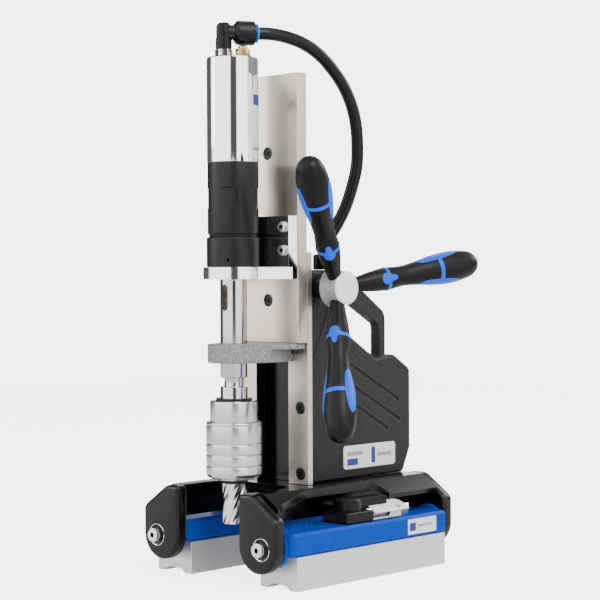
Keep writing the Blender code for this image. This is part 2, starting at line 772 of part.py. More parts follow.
def build_casting():
    """The black cast housing with its carrying handle. It is open underneath and holds the cross shaft."""
    half = CASTING_HALF + 0.004
    middle = CASTING_HALF - half / 2
    side = plate(casting_outline(), half)
    casting = place("column_housing", side, BLACK_CASTING, STAND, (middle, 0, 0), TURN_SIDE_ON)
    round_edges(casting, 0.0025, 1, 20)
    low = (-0.004, 0.100, 0.300)
    mesh, centre = box(low, (RIDGE_HALF, 0.170, RIDGE_TOP))
    join(casting, helper("top_ridge", mesh, STAND, centre))
    half = HANDLE_HALF + 0.004
    middle = HANDLE_HALF - half / 2
    handle = helper("carry_handle", plate(handle_outline(), half), STAND, (middle, 0, 0), TURN_SIDE_ON)
    cut(handle, helper("handle_opening", plate(handle_opening(), 0.060), STAND, (0, 0, 0), TURN_SIDE_ON))
    round_edges(handle, 0.002, 1, 50)
    join(casting, handle)

    pocket = box((-0.01, 0.080, 0.100), (GUIDE_CORE_HALF + GAP, GUIDE_BACK + GAP, 0.400))
    hollow = box((-0.01, GUIDE_BACK + CASTING_WALL, 0.095), (CASTING_HALF - CASTING_WALL, 0.258, 0.222))
    for name, (mesh, centre) in (("guide_pocket", pocket), ("hollow_underside", hollow)):
        cut(casting, helper(name, mesh, STAND, centre))
    axis = (-0.01, WHEEL_Y, WHEEL_Z)
    cut(casting, helper("pinion_chamber", rod(0.0155, 0.025, 16), STAND, axis, TURN_TO_X))
    cut(casting, helper("shaft_tunnel", rod(0.0090, 0.070, 16), STAND, axis, TURN_TO_X))
    bearing_seat = (CASTING_HALF - 0.012, WHEEL_Y, WHEEL_Z)
    cut(casting, helper("bearing_seat", rod(0.0135, 0.020, 20), STAND, bearing_seat, TURN_TO_X))

    for index, (low_end, high_end) in enumerate(SIDE_GROOVES):
        along = Vector(high_end) - Vector(low_end)
        mesh, _ = box((0, 0, 0), (0.006, along.length, GROOVE_WIDTH))
        centre = (Vector(low_end) + Vector(high_end)) / 2
        slant = (math.atan2(along.y, along.x) + math.pi, 0.0, 0.0)
        at = (CASTING_HALF + 0.001, centre.x, centre.y)
        cut(casting, helper(f"side_groove_{index + 1}", mesh, STAND, at, slant))
    mirror_half(casting)

    for side, sign, turn in (("left", -1, TURN_TO_LEFT), ("right", 1, TURN_TO_X)):
        flange = 0.0165
        points = [
            (flange, 0.0035),
            (flange, 0.0),
            (0.0132, 0.0),
            (0.0132, -0.0055),
            (SHAFT_RADIUS + GAP, -0.0055),
            (SHAFT_RADIUS + GAP, 0.0035),
        ]
        at = (sign * (CASTING_HALF + GAP), WHEEL_Y, WHEEL_Z)
        turned(f"{side}_shaft_bearing", points, BRONZE, STAND, at, 20, turn, closed=True)


def build_feed_wheel():
    """Cross shaft with the pinion, its hub and the three grips."""
    left_end = -0.050
    axis = (0.0, WHEEL_Y, WHEEL_Z)
    length = HUB_FACE - 0.003 - left_end
    mesh = rod(SHAFT_RADIUS, length, 20)
    shaft = place("pinion_shaft", mesh, BRIGHT_STEEL, WHEEL, (left_end, WHEEL_Y, WHEEL_Z), TURN_TO_X)
    teeth = plate(gear_outline(PINION_TEETH, PINION_MODULE), PINION_WIDTH)
    pinion = helper("pinion_teeth", teeth, WHEEL, axis, TURN_TO_X)
    join(shaft, pinion)

    bore = SHAFT_RADIUS + GAP
    depth = HUB_FACE - HUB_START
    cone = [
        (0.0, depth),
        (0.0190, depth),
        (0.0192, depth * 0.6),
        (0.0205, depth * 0.25),
        (0.0230, 0.002),
        (0.0230, 0.0),
        (bore, 0.0),
        (bore, depth - 0.0025),
        (0.0, depth - 0.0025),
    ]
    turned("wheel_hub", cone, GREY_PLASTIC, WHEEL, (HUB_START, WHEEL_Y, WHEEL_Z), 24, TURN_TO_X)
    cap = [
        (0.0, CAP_FACE),
        (0.0180, CAP_FACE),
        (0.0192, CAP_FACE - 0.001),
        (0.0192, HUB_FACE + GAP),
        (0.0, HUB_FACE + GAP),
    ]
    turned("hub_cap", cap, WHITE_PLASTIC, WHEEL, axis, 24, TURN_TO_X)
    spacer = [
        (0.0120, HUB_START - GAP),
        (0.0120, CASTING_HALF + 0.0045),
        (bore, CASTING_HALF + 0.0045),
        (bore, HUB_START - GAP),
    ]
    turned("hub_spacer", spacer, DARK_STEEL, WHEEL, axis, 16, TURN_TO_X, closed=True)

    grip = (
        (0.0, GRIP_LENGTH),
        (0.0070, GRIP_LENGTH - 0.0015),
        (0.0125, GRIP_LENGTH - 0.0065),
        (0.0162, GRIP_LENGTH - 0.0160),
        (0.0187, GRIP_LENGTH - 0.0370),
        (0.0172, GRIP_LENGTH - 0.0620),
        (0.0142, GRIP_LENGTH - 0.0810),
        (0.0119, GRIP_LENGTH - 0.1040),
        (0.0134, GRIP_LENGTH - 0.1250),
        (0.0120, GRIP_LENGTH - 0.1420),
        (0.0092, GRIP_LENGTH - 0.1600),
        (0.0080, 0.0),
        (0.0, 0.0),
    )
    clearance = [
        (0.0, 0.030),
        (0.0192 + GAP, 0.030),
        (0.0192 + GAP, depth * 0.6),
        (0.0205 + GAP, depth * 0.25),
        (0.0230 + GAP, 0.002),
        (0.0230 + GAP, -0.010),
        (0.0, -0.010),
    ]
    hub_at = (HUB_START, WHEEL_Y, WHEEL_Z)
    hub_room = turned_helper("grip_root_shape", clearance, WHEEL, hub_at, 24, TURN_TO_X)
    for index in range(3):
        angle = GRIP_FIRST_ANGLE + 2 * math.pi * index / 3
        outward = Vector((0.0, math.sin(angle), math.cos(angle)))
        along = outward * math.cos(GRIP_DISH) + Vector((math.sin(GRIP_DISH), 0.0, 0.0))
        start = Vector((GRIP_ROOT_X, WHEEL_Y, WHEEL_Z)) + along * GRIP_START
        turn = along.to_track_quat("Z", "Y").to_euler()
        obj = turned(f"grip_{index + 1}", grip, SOFT_GRIP, WHEEL, start, 14, turn)
        cut(obj, hub_room)


# ---------------------------------------------------------------- slide


def build_slide():
    """The moving aluminium slide, with its tongue in the guide's channel and the rack behind it."""
    recess = 0.002
    section = [
        (-0.004, SLIDE_FRONT + recess),
        (SLIDE_FLANK, SLIDE_FRONT + recess),
        (SLIDE_FLANK, SLIDE_FRONT),
        (GUIDE_HALF, SLIDE_FRONT),
        (GUIDE_HALF, SLIDE_BACK),
        (CHANNEL_FRONT_HALF - GAP, SLIDE_BACK),
        (CHANNEL_FRONT_HALF - GAP, GUIDE_FRONT + 0.001),
        (CHANNEL_FRONT_HALF + 0.0017, TONGUE_BACK),
        (-0.004, TONGUE_BACK),
    ]
    height = SLIDE_TOP - SLIDE_BOTTOM
    middle = (SLIDE_TOP + SLIDE_BOTTOM) / 2
    slide = place("feed_slide", plate(section, height), SATIN_ALUMINIUM, SLIDE, (0, 0, middle))
    mirror_half(slide)
    for name, z in (("upper", 0.4862), ("lower", 0.3168)):
        bore = rod(SLIDE_BORE_RADIUS, 0.008, 24)
        at = (SLIDE_BORE_X, SLIDE_FRONT - 0.001, z)
        cut(slide, helper(f"{name}_slide_bore", bore, SLIDE, at, TURN_TO_REAR))

    pitch = math.pi * PINION_MODULE
    pitch_line = WHEEL_Y - PINION_RADIUS
    root = pitch_line - 1.25 * PINION_MODULE
    tip = pitch_line + 0.9 * PINION_MODULE
    outline = [(TONGUE_BACK + GAP, RACK_BOTTOM)]
    first = math.ceil((RACK_BOTTOM + pitch / 2 - WHEEL_Z) / pitch - 0.5)
    last = math.floor((RACK_TOP - pitch / 2 - WHEEL_Z) / pitch - 0.5)
    outline.append((root, RACK_BOTTOM))
    for tooth in range(first, last + 1):
        centre = WHEEL_Z + (tooth + 0.5) * pitch
        for offset, depth in ((-0.30, root), (-0.13, tip), (0.13, tip), (0.30, root)):
            outline.append((depth, centre + offset * pitch))
    outline.append((root, RACK_TOP))
    outline.append((TONGUE_BACK + GAP, RACK_TOP))
    place("feed_rack", plate(outline, 0.012), BRIGHT_STEEL, SLIDE, (0, 0, 0), TURN_SIDE_ON)


def build_motor_bracket():
    """Bright L-shaped bracket that clamps the motor to the slide."""
    back = SLIDE_FRONT - GAP
    nose = arc((0.0, SPINDLE_Y), PLATE_FRONT_RADIUS, 175, 365, 16)
    outline = [(-PLATE_HALF, back), (-PLATE_HALF, BRACKET_FRONT - 0.004)] + nose
    outline += [(PLATE_HALF, BRACKET_FRONT - 0.004), (PLATE_HALF, back)]
    thickness = PLATE_TOP - PLATE_BOTTOM
    middle = (PLATE_TOP + PLATE_BOTTOM) / 2
    bracket = place("motor_bracket", plate(outline, thickness), BRIGHT_ALUMINIUM, SLIDE, (0, 0, middle))
    mesh, centre = box((-PLATE_HALF, BRACKET_FRONT, PLATE_BOTTOM + 0.001), (PLATE_HALF, back, BRACKET_TOP))
    join(bracket, helper("bracket_back", mesh, SLIDE, centre))
    axis = (0.0, SPINDLE_Y, PLATE_BOTTOM - 0.005)
    cut(bracket, helper("plate_bore", rod(SPINDLE_RADIUS + GAP, 0.030, 24), SLIDE, axis))
    for row, z in enumerate(BRACKET_SCREW_ROWS):
        for side, sign in SIDES:
            at = (sign * BRACKET_SCREW_X, BRACKET_FRONT - GAP, z)
            points = [
                (0.0, 0.002),
                (0.0030, 0.002),
                (0.0030, 0.0050),
                (0.0055, 0.0050),
                (0.0062, 0.0043),
                (0.0062, 0.0),
                (0.0, 0.0),
            ]
            turned(f"{side}_bracket_screw_{row + 1}", points, BRIGHT_STEEL, SLIDE, at, 12, TURN_TO_FRONT)


def build_steady_bracket():
    """Cast bracket that steadies the spindle at the slide's foot."""
    rear = SLIDE_BACK - 0.0005
    nose = arc((0.0, SPINDLE_Y), STEADY_RADIUS, 180, 360, 14)
    outline = [(-STEADY_HALF, rear), (-STEADY_HALF, 0.060), (-0.040, 0.046)] + nose
    outline += [(0.040, 0.046), (STEADY_HALF, 0.060), (STEADY_HALF, rear)]
    middle = (STEADY_TOP + STEADY_BOTTOM) / 2
    mesh = plate(outline, STEADY_TOP - STEADY_BOTTOM)
    bracket = place("steady_bracket", mesh, GREY_CASTING, SLIDE, (0, 0, middle))
    round_edges(bracket, 0.0012, 1, 50)
    for side, sign in SIDES:
        inner = sign * STEADY_FOOT_HALF
        outer = sign * (STEADY_HALF + 0.010)
        low = (min(inner, outer), 0.038, STEADY_BOTTOM - 0.010)
        mesh, centre = box(low, (max(inner, outer), 0.080, STEADY_FLANGE))
        cut(bracket, helper(f"{side}_steady_step", mesh, SLIDE, centre))
    axis = (0.0, SPINDLE_Y, STEADY_BOTTOM - 0.005)
    cut(bracket, helper("steady_bore", rod(SPINDLE_RADIUS + GAP, 0.040, 24), SLIDE, axis))


def rotor_outline():
    """The vane rotor's section: a round body with a narrow radial slot for each vane."""
    points = []
    slot_half = math.radians(5)
    floor_radius = ROTOR_RADIUS - ROTOR_SLOT_DEPTH
    for index in range(ROTOR_SLOTS):
        middle = math.degrees(2 * math.pi * index / ROTOR_SLOTS)
        floor_half = math.degrees(slot_half) * 1.6
        points += arc((0.0, 0.0), floor_radius, middle - floor_half, middle + floor_half, 1)
        start = middle + math.degrees(slot_half)
        end = middle + 360 / ROTOR_SLOTS - math.degrees(slot_half)
        points += arc((0.0, 0.0), ROTOR_RADIUS, start, end, 6)
    return points


def build_motor():
    axis = (0.0, SPINDLE_Y, 0.0)
    collar = [
        (COLLAR_RADIUS - 0.001, GEARBOX_BOTTOM - GAP),
        (COLLAR_RADIUS, GEARBOX_BOTTOM - 0.0015),
        (COLLAR_RADIUS, PLATE_TOP + GAP),
        (BEARING_RADIUS + GAP, PLATE_TOP + GAP),
        (BEARING_RADIUS + GAP, GEARBOX_BOTTOM - GAP),
    ]
    turned("clamp_collar", collar, DARK_STEEL, SLIDE, axis, 28, closed=True)
    inner = SPINDLE_RADIUS + GAP
    bearing = [(BEARING_RADIUS, 0.386), (BEARING_RADIUS, 0.358), (inner, 0.358), (inner, 0.386)]
    turned("spindle_bearing", bearing, BRIGHT_STEEL, SLIDE, axis, 24, closed=True)

    gearbox = [
        (0.0, MOTOR_BOTTOM - GAP),
        (GEARBOX_RADIUS, MOTOR_BOTTOM - GAP),
        (GEARBOX_RADIUS, 0.393),
        (GEARBOX_RADIUS - 0.0015, 0.392),
        (GEARBOX_RADIUS - 0.0015, GEARBOX_BOTTOM),
        (0.0, GEARBOX_BOTTOM),
    ]
    case = turned("gearbox_housing", gearbox, DARK_STEEL, SLIDE, axis, 28)
    ring_gap = 0.0015
    low = GEARS_BOTTOM - ring_gap
    high = GEARS_TOP + ring_gap
    ring = gear_outline(RING_TEETH, GEAR_MODULE, True, math.pi / RING_TEETH)
    cut(case, helper("ring_gear_teeth", plate(ring, high - low), SLIDE, (0, SPINDLE_Y, (low + high) / 2)))
    cut(case, helper("carrier_room", rod(0.0240, low - 0.385 + 0.0001, 24), SLIDE, (0, SPINDLE_Y, 0.385)))
    cut(case, helper("rotor_shaft_bore", rod(0.0080, 0.080, 16), SLIDE, (0, SPINDLE_Y, 0.405)))

    motor = [
        (0.0, MOTOR_TOP),
        (MOTOR_RADIUS - 0.0015, MOTOR_TOP),
        (MOTOR_RADIUS, MOTOR_TOP - 0.0015),
        (MOTOR_RADIUS, MOTOR_BOTTOM),
        (0.0, MOTOR_BOTTOM),
    ]
    housing = turned("air_motor_housing", motor, BRIGHT_STEEL, SLIDE, axis, 32)
    cylinder = rod(MOTOR_BORE_RADIUS, 0.116, 24)
    at = (0, SPINDLE_Y + MOTOR_BORE_OFFSET, MOTOR_BOTTOM - 0.002)
    cut(housing, helper("motor_bore", cylinder, SLIDE, at))

    rotor_at = (0, SPINDLE_Y, ROTOR_Z)
    rotor = place("motor_rotor", plate(rotor_outline(), ROTOR_LENGTH), BRIGHT_STEEL, MOTOR_ROTOR, rotor_at)
    shaft_at = (0, SPINDLE_Y, GEARS_BOTTOM + 0.001)
    join(rotor, helper("rotor_shaft", rod(0.0042, 0.185, 12), MOTOR_ROTOR, shaft_at))
    sun = plate(gear_outline(SUN_TEETH, GEAR_MODULE), GEARS_TOP - GEARS_BOTTOM)
    sun_at = (0, SPINDLE_Y, (GEARS_TOP + GEARS_BOTTOM) / 2)
    join(rotor, helper("sun_gear", sun, MOTOR_ROTOR, sun_at))


def build_spindle():
    """The drill spindle, whose top is the planet carrier, with the chuck and the annular cutter."""
    top = GEARS_BOTTOM - 0.001
    flange_low = top - 0.005
    profile = [
        (0.0, top),
        (0.0205, top),
        (0.0205, flange_low),
        (SPINDLE_RADIUS, flange_low),
        (SPINDLE_RADIUS, SPINDLE_END + 0.001),
        (SPINDLE_RADIUS - 0.001, SPINDLE_END),
        (0.0110, SPINDLE_END),
        (0.0110, 0.2197),
        (0.0155, 0.2190),
        (0.0155, 0.2055),
        (0.0205, 0.2055),
        (0.0205, CHUCK_TOP + GAP),
        (0.0, CHUCK_TOP + GAP),
    ]
    spindle = turned("drill_spindle", profile, BRIGHT_STEEL, SPINDLE, (0, SPINDLE_Y, 0), 24)
    straight = (SLOT_HIGH - SLOT_LOW - SLOT_WIDTH) / 2
    half = SLOT_WIDTH / 2
    slot = arc((0.0, straight), half, 0, 180, 6) + arc((0.0, -straight), half, 180, 360, 6)
    at = (0, SPINDLE_Y, (SLOT_LOW + SLOT_HIGH) / 2)
    cut(spindle, helper("drift_slot", plate(slot, 0.050), SPINDLE, at, (math.pi / 2, 0.0, SLOT_TURN)))
    for index in range(3):
        x, y = planet_centre(index)
        pin = helper(f"planet_pin_{index + 1}", rod(0.0025, 0.012, 8), SPINDLE, (x, y, top - 0.001))
        join(spindle, pin)
        axis = pivot(f"planet_{index + 1}_axis", (x, y, GEARS_BOTTOM), SPINDLE)
        teeth = gear_outline(PLANET_TEETH, GEAR_MODULE, False, math.pi / PLANET_TEETH)
        gear = plate(teeth, GEARS_TOP - GEARS_BOTTOM - GAP)
        gear_at = (x, y, (GEARS_TOP + GEARS_BOTTOM) / 2)
        planet = place(f"planet_gear_{index + 1}", gear, BRIGHT_STEEL, axis, gear_at)
        bore = helper(f"planet_bore_{index + 1}", rod(0.0028, 0.020, 8), axis, (x, y, GEARS_BOTTOM - 0.004))
        cut(planet, bore)

    shoulder = 0.0275
    neck = 0.0200
    body = [
        (0.0, CHUCK_TOP),
        (shoulder - 0.0015, CHUCK_TOP),
        (shoulder, CHUCK_TOP - 0.0015),
        (shoulder, SLEEVE_TOP - 0.002),
        (neck, SLEEVE_TOP - 0.002),
        (neck, 0.1135),
        (0.0145, 0.1130),
        (0.0145, CUTTER_TOP + GAP),
        (0.0098, CUTTER_TOP + GAP),
        (0.0098, 0.1505),
        (0.0036, 0.1510),
        (0.0036, 0.1700),
        (0.0, 0.1700),
    ]
    turned("chuck_body", body, CHUCK_STEEL, SPINDLE, (0, SPINDLE_Y, 0), 24)

    bore = shoulder + 0.0004
    lip = 0.0060
    sleeve = [
        (bore, SLEEVE_TOP),
        (SLEEVE_RADIUS - 0.0012, SLEEVE_TOP),
        (SLEEVE_RADIUS, SLEEVE_TOP - 0.0012),
        (SLEEVE_RADIUS, SLEEVE_BOTTOM + 0.005),
        (SLEEVE_RADIUS - 0.0015, SLEEVE_BOTTOM + 0.0015),
        (SLEEVE_RADIUS - 0.0050, SLEEVE_BOTTOM),
        (neck + 0.0004, SLEEVE_BOTTOM),
        (neck + 0.0004, SLEEVE_BOTTOM + lip),
        (bore, SLEEVE_BOTTOM + lip),
    ]
    turned("release_sleeve", sleeve, CHUCK_STEEL, SLEEVE, (0, SPINDLE_Y, 0), 28, closed=True)
    build_sleeve_spring(SLEEVE_BOTTOM + lip, SLEEVE_TOP - 0.002)
    build_cutter()


def build_sleeve_spring(low, high):
    """The spring between the sleeve's lip and the chuck's shoulder, as a coil of round wire."""
    turns = 4
    per_turn = 10
    end_gap = SPRING_WIRE + GAP
    rise = high - low - 2 * end_gap
    points = []
    for index in range(turns * per_turn + 1):
        angle = 2 * math.pi * index / per_turn
        height = low + end_gap + rise * index / (turns * per_turn)
        points.append((SPRING_RADIUS * math.cos(angle), SPRING_RADIUS * math.sin(angle), height))
    coil = tube(bpy.data.curves.new("spring", "CURVE"), points, SPRING_WIRE, 1)
    place("sleeve_spring", coil, BRIGHT_STEEL, SLEEVE, (0, SPINDLE_Y, 0))


def build_cutter():
    """The annular cutter: a ring of steep helical flutes below a plain shank, bored for the pilot pin."""
    flutes = 6
    land = math.radians(36)
    gullet = 2 * math.pi / flutes - land
    gullet_radius = CUTTER_RADIUS - 0.0019
    outline = []
    for index in range(flutes):
        start = 2 * math.pi * index / flutes
        corners = [(start + land * share, CUTTER_RADIUS) for share in (0.0, 0.5, 1.0)]
        corners += [(start + land + gullet * share, gullet_radius) for share in (0.25, 0.75)]
        outline += [(radius * math.cos(angle), radius * math.sin(angle)) for angle, radius in corners]
    height = CUTTER_TOP - CUTTER_BOTTOM
    mesh = extruded(outline, height, math.radians(80), 5)
    cutter = place("annular_cutter", mesh, BRIGHT_STEEL, SPINDLE, (0, SPINDLE_Y, CUTTER_BOTTOM))
    shank_end = 0.1495
    root = 0.002
    shank = rod(0.0095, shank_end - CUTTER_TOP + root, 16)
    join(cutter, helper("cutter_shank", shank, SPINDLE, (0, SPINDLE_Y, CUTTER_TOP - root)))
    hollow = rod(0.0105, height - 0.006 + 0.005, 16)
    cut(cutter, helper("cutter_hollow", hollow, SPINDLE, (0, SPINDLE_Y, CUTTER_BOTTOM - 0.005)))
    cut(cutter, helper("pilot_bore", rod(0.0034, 0.100, 10), SPINDLE, (0, SPINDLE_Y, CUTTER_BOTTOM)))
    pin = [
        (0.0, 0.1550),
        (0.0031, 0.1550),
        (0.0031, CUTTER_BOTTOM + 0.001),
        (0.0, CUTTER_BOTTOM - 0.0022),
    ]
    turned("pilot_pin", pin, BRIGHT_STEEL, PILOT, (0, SPINDLE_Y, 0), 10)


# ---------------------------------------------------------------- air line


def build_air_fitting():
    """The elbow on the motor: a hex nut, the body with its barrel, and a brass silencer beside it."""
    x, y = ELBOW
    low = MOTOR_TOP + GAP
    nut_top = low + 0.0085
    place("elbow_nut", rod(0.0095, nut_top - low, 6), BRIGHT_STEEL, SLIDE, (x, y, low))
    body = [
        (0.0, 0.6330),
        (0.0055, 0.6328),
        (0.0082, 0.6300),
        (0.0087, 0.6260),
        (0.0087, 0.6160),
        (0.0093, 0.6150),
        (0.0093, nut_top + GAP),
        (0.0, nut_top + GAP),
    ]
    elbow = turned("hose_elbow", body, BLACK_PLASTIC, SLIDE, (x, y, 0), 20)
    along = (math.pi / 2, 0.0, ELBOW_TURN + math.pi / 2)
    barrel = [
        (0.0, 0.0370),
        (0.0105, 0.0370),
        (BARREL_RADIUS, 0.0345),
        (BARREL_RADIUS, 0.0160),
        (0.0120, 0.0140),
        (0.0085, 0.0110),
        (0.0085, 0.0),
        (0.0, 0.0),
    ]
    join(elbow, turned_helper("elbow_barrel", barrel, SLIDE, (x, y, BARREL_Z), 20, along))
    socket_start = 0.0170
    direction = Vector((math.cos(ELBOW_TURN), math.sin(ELBOW_TURN), 0.0))
    end = Vector((x, y, BARREL_Z)) + direction * socket_start
    cut(elbow, helper("hose_socket", rod(HOSE_RADIUS + GAP, 0.030, 20), SLIDE, end, along))
    silencer = [
        (0.0, 0.6065),
        (0.0062, 0.6065),
        (0.0068, 0.6055),
        (0.0068, low),
        (0.0, low),
    ]
    turned("exhaust_silencer", silencer, BRASS, SLIDE, (0.0085, 0.0235, 0), 16)


def build_hose():
    points = smooth_route(HOSE_ROUTE, HOSE_SPACING)
    hose = tube(bpy.data.curves.new("air_hose", "CURVE"), points, HOSE_RADIUS, 2)
    place("air_hose", hose, HOSE_RUBBER, STAND, (0, 0, 0))


def build_air_supply():
    """Hose port on the ridge, and the on-off valve with its inlet on the casting's left side."""
    x, y = PORT_AT
    low = RIDGE_TOP + GAP
    port = [
        (0.0115, low + 0.018),
        (0.0125, low + 0.016),
        (0.0125, low),
        (HOSE_RADIUS - 0.0010, low),
        (HOSE_RADIUS - 0.0010, low + 0.008),
        (HOSE_RADIUS + 0.0006, low + 0.008),
        (HOSE_RADIUS + 0.0006, low + 0.018),
    ]
    turned("hose_port", port, BLACK_PLASTIC, STAND, (x, y, 0), 20, closed=True)

    side = -(CASTING_HALF + GAP)
    valve_at = (side, VALVE_Y, VALVE_Z)
    inlet_x = side - 0.0095
    body = [(0.0, 0.018), (0.0130, 0.018), (0.0140, 0.016), (0.0140, 0.0), (0.0, 0.0)]
    valve = turned("air_valve_body", body, BRASS, STAND, valve_at, 20, TURN_TO_LEFT)
    inlet_length = 0.030
    inlet_at = (inlet_x, VALVE_Y, VALVE_Z)
    join(valve, helper("valve_inlet", rod(0.0085, inlet_length, 16), STAND, inlet_at, TURN_TO_REAR))
    nipple_at = (inlet_x, VALVE_Y + inlet_length + GAP, VALVE_Z)
    nipple = [
        (0.0, 0.022),
        (0.0055, 0.022),
        (0.0055, 0.016),
        (0.0042, 0.014),
        (0.0042, 0.010),
        (0.0062, 0.009),
        (0.0080, 0.008),
        (0.0080, 0.0),
        (0.0, 0.0),
    ]
    turned("air_inlet_nipple", nipple, BRIGHT_STEEL, STAND, nipple_at, 16, TURN_TO_REAR)
    lever_x = side - 0.018 - GAP
    lever_at = (lever_x, VALVE_Y, VALVE_Z)
    axis = pivot("air_valve_axis", lever_at, STAND)
    lever = place("air_valve_lever", rod(0.0095, 0.006, 16), BLACK_COAT, axis, lever_at, TURN_TO_LEFT)
    low = (lever_x - 0.0055, VALVE_Y - VALVE_ARM_HALF, VALVE_Z)
    high = (lever_x - 0.0015, VALVE_Y + VALVE_ARM_HALF, VALVE_Z + VALVE_ARM_REACH)
    mesh, centre = box(low, high)
    arm = helper("valve_lever_arm", mesh, axis, centre)
    join(lever, arm)


build_bridge()
build_pivot_screws()
build_magnet("left", -1)
build_magnet("right", 1)
build_guide()
build_casting()
build_feed_wheel()
build_slide()
build_motor_bracket()
build_steady_bracket()
build_motor()
build_spindle()
build_air_fitting()
build_hose()
build_air_supply()
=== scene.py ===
"""The looks of the pneumatic magnetic drill press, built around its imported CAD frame.

Shapes are made in the machine's own frame, in metres: +X to the feed wheel's side, -Y to the spindle's side,
+Z up, with zero in the middle between the magnets, at the front end of the pole shoes, on the floor. add()
shifts a finished mesh into the CAD frame.
"""

import math

import bmesh
import bpy
from mathutils import Euler, Matrix, Vector


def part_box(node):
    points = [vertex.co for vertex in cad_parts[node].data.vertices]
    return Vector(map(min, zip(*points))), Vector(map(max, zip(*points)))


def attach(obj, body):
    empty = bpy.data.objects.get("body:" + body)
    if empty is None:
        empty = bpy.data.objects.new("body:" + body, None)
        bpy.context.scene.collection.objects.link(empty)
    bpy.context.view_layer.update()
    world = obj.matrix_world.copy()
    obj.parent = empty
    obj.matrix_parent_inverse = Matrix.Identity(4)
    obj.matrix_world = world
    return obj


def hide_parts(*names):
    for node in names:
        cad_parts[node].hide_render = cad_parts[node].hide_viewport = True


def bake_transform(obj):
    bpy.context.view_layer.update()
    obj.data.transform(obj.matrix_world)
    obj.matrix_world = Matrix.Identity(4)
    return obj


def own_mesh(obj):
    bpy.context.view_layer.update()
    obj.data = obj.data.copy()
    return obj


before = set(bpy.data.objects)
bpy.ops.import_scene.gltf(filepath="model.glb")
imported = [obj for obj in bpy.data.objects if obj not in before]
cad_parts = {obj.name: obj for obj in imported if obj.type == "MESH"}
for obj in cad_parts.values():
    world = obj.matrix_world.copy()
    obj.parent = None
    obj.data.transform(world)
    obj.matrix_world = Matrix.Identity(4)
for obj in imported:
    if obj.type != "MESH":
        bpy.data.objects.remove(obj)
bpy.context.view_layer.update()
LEFT_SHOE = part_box("left_pole_shoe")
RIGHT_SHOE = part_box("right_pole_shoe")
ORIGIN = Vector(((LEFT_SHOE[0].x + RIGHT_SHOE[1].x) / 2, LEFT_SHOE[0].y, 0.0))
SIDES = (("left", -1), ("right", 1))


def span(node):
    """A CAD node's lowest and highest corners in the machine's frame."""
    low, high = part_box(node)
    return low - ORIGIN, high - ORIGIN


def middle(node):
    low, high = span(node)
    return (low + high) / 2


SPINDLE_Y = middle("drill_spindle").y
WHEEL = middle("hub_cap")
SWIVEL_X = middle("right_pole_shoe").x
UP = Vector((0.0, 0.0, 1.0))
RIGHT = Vector((1.0, 0.0, 0.0))
BACK = Vector((0.0, 1.0, 0.0))


# ---------------------------------------------------------------- camera and light

LENS = 102.665
CAMERA_AT = Vector((1.399778, -1.342438, 0.344455))
CAMERA_TURN = math.radians(43.652)
CAMERA_DIP = math.radians(0.795)
CAMERA_ROLL = math.radians(-0.261)


def make_camera():
    data = bpy.data.cameras.new("camera")
    data.lens = LENS
    data.sensor_width = 36.0
    data.clip_start = 0.05
    data.clip_end = 50.0
    camera = bpy.data.objects.new("camera", data)
    bpy.context.scene.collection.objects.link(camera)
    aim = Euler((math.pi / 2 - CAMERA_DIP, 0.0, CAMERA_TURN)).to_matrix()
    turn = aim @ Matrix.Rotation(CAMERA_ROLL, 3, "Z")
    camera.matrix_world = Matrix.Translation(CAMERA_AT + ORIGIN) @ turn.to_4x4()
    bpy.context.scene.camera = camera


def area_light(name, at, target, size, power):
    data = bpy.data.lights.new(name, "AREA")
    data.shape = "RECTANGLE"
    data.size, data.size_y = size
    data.energy = power
    light = bpy.data.objects.new(name, data)
    bpy.context.scene.collection.objects.link(light)
    light.location = at
    light.rotation_euler = (Vector(target) - Vector(at)).to_track_quat("-Z", "Y").to_euler()


# Dark stretches of the studio that polished metal mirrors. Each has its middle and half width, in degrees
# about the upright, and its depth.
STUDIO_DARKS = ((50, 15, 0.97), (-97, 41, 0.96), (124, 9, 0.45), (156, 18, 0.85), (-168, 20, 0.88))
# The studio's brightness as surfaces are lit by it, as gloss mirrors it and as the camera sees it.
AMBIENT_LEVEL = 0.85
MIRRORED_LEVEL = 3.0
BACKDROP_LEVEL = 5.0
# The floor's own light, as it falls on the object and as the camera sees it.
FLOOR_LIGHT = 0.12
FLOOR_GLOW = 3.8
# How far above the floor the lamps aim.
LAMP_TARGET = Vector((0.0, 0.0, 0.30))
# Where a colour Mix node keeps its share, its two colours and its result.
MIX_SHARE, MIX_FIRST, MIX_SECOND, MIX_RESULT = 0, 6, 7, 2
# The same places in a Mix node for plain numbers.
FLOAT_SHARE, FLOAT_FIRST, FLOAT_SECOND = 0, 2, 3


def maths(tree, operation, *values):
    """A Math node's output. Each value is another node's output or a plain number."""
    node = tree.nodes.new("ShaderNodeMath")
    node.operation = operation
    for socket, value in zip(node.inputs, values):
        if isinstance(value, float):
            socket.default_value = value
        else:
            tree.links.new(value, socket)
    return node.outputs[0]


def ranged(tree, value, start, end, low=0.0, high=1.0, smooth=False):
    """A value's stretch from start to end, turned into low to high."""
    node = tree.nodes.new("ShaderNodeMapRange")
    if smooth:
        node.interpolation_type = "SMOOTHSTEP"
    for name, number in (("From Min", start), ("From Max", end), ("To Min", low), ("To Max", high)):
        node.inputs[name].default_value = number
    tree.links.new(value, node.inputs["Value"])
    return node.outputs[0]


def over(tree, share, under, colour):
    """A plain colour laid over a node's colour, by a share from 0 to 1."""
    node = tree.nodes.new("ShaderNodeMix")
    node.data_type = "RGBA"
    node.inputs[MIX_SECOND].default_value = (*colour, 1.0)
    tree.links.new(share, node.inputs[MIX_SHARE])
    tree.links.new(under, node.inputs[MIX_FIRST])
    return node.outputs[MIX_RESULT]


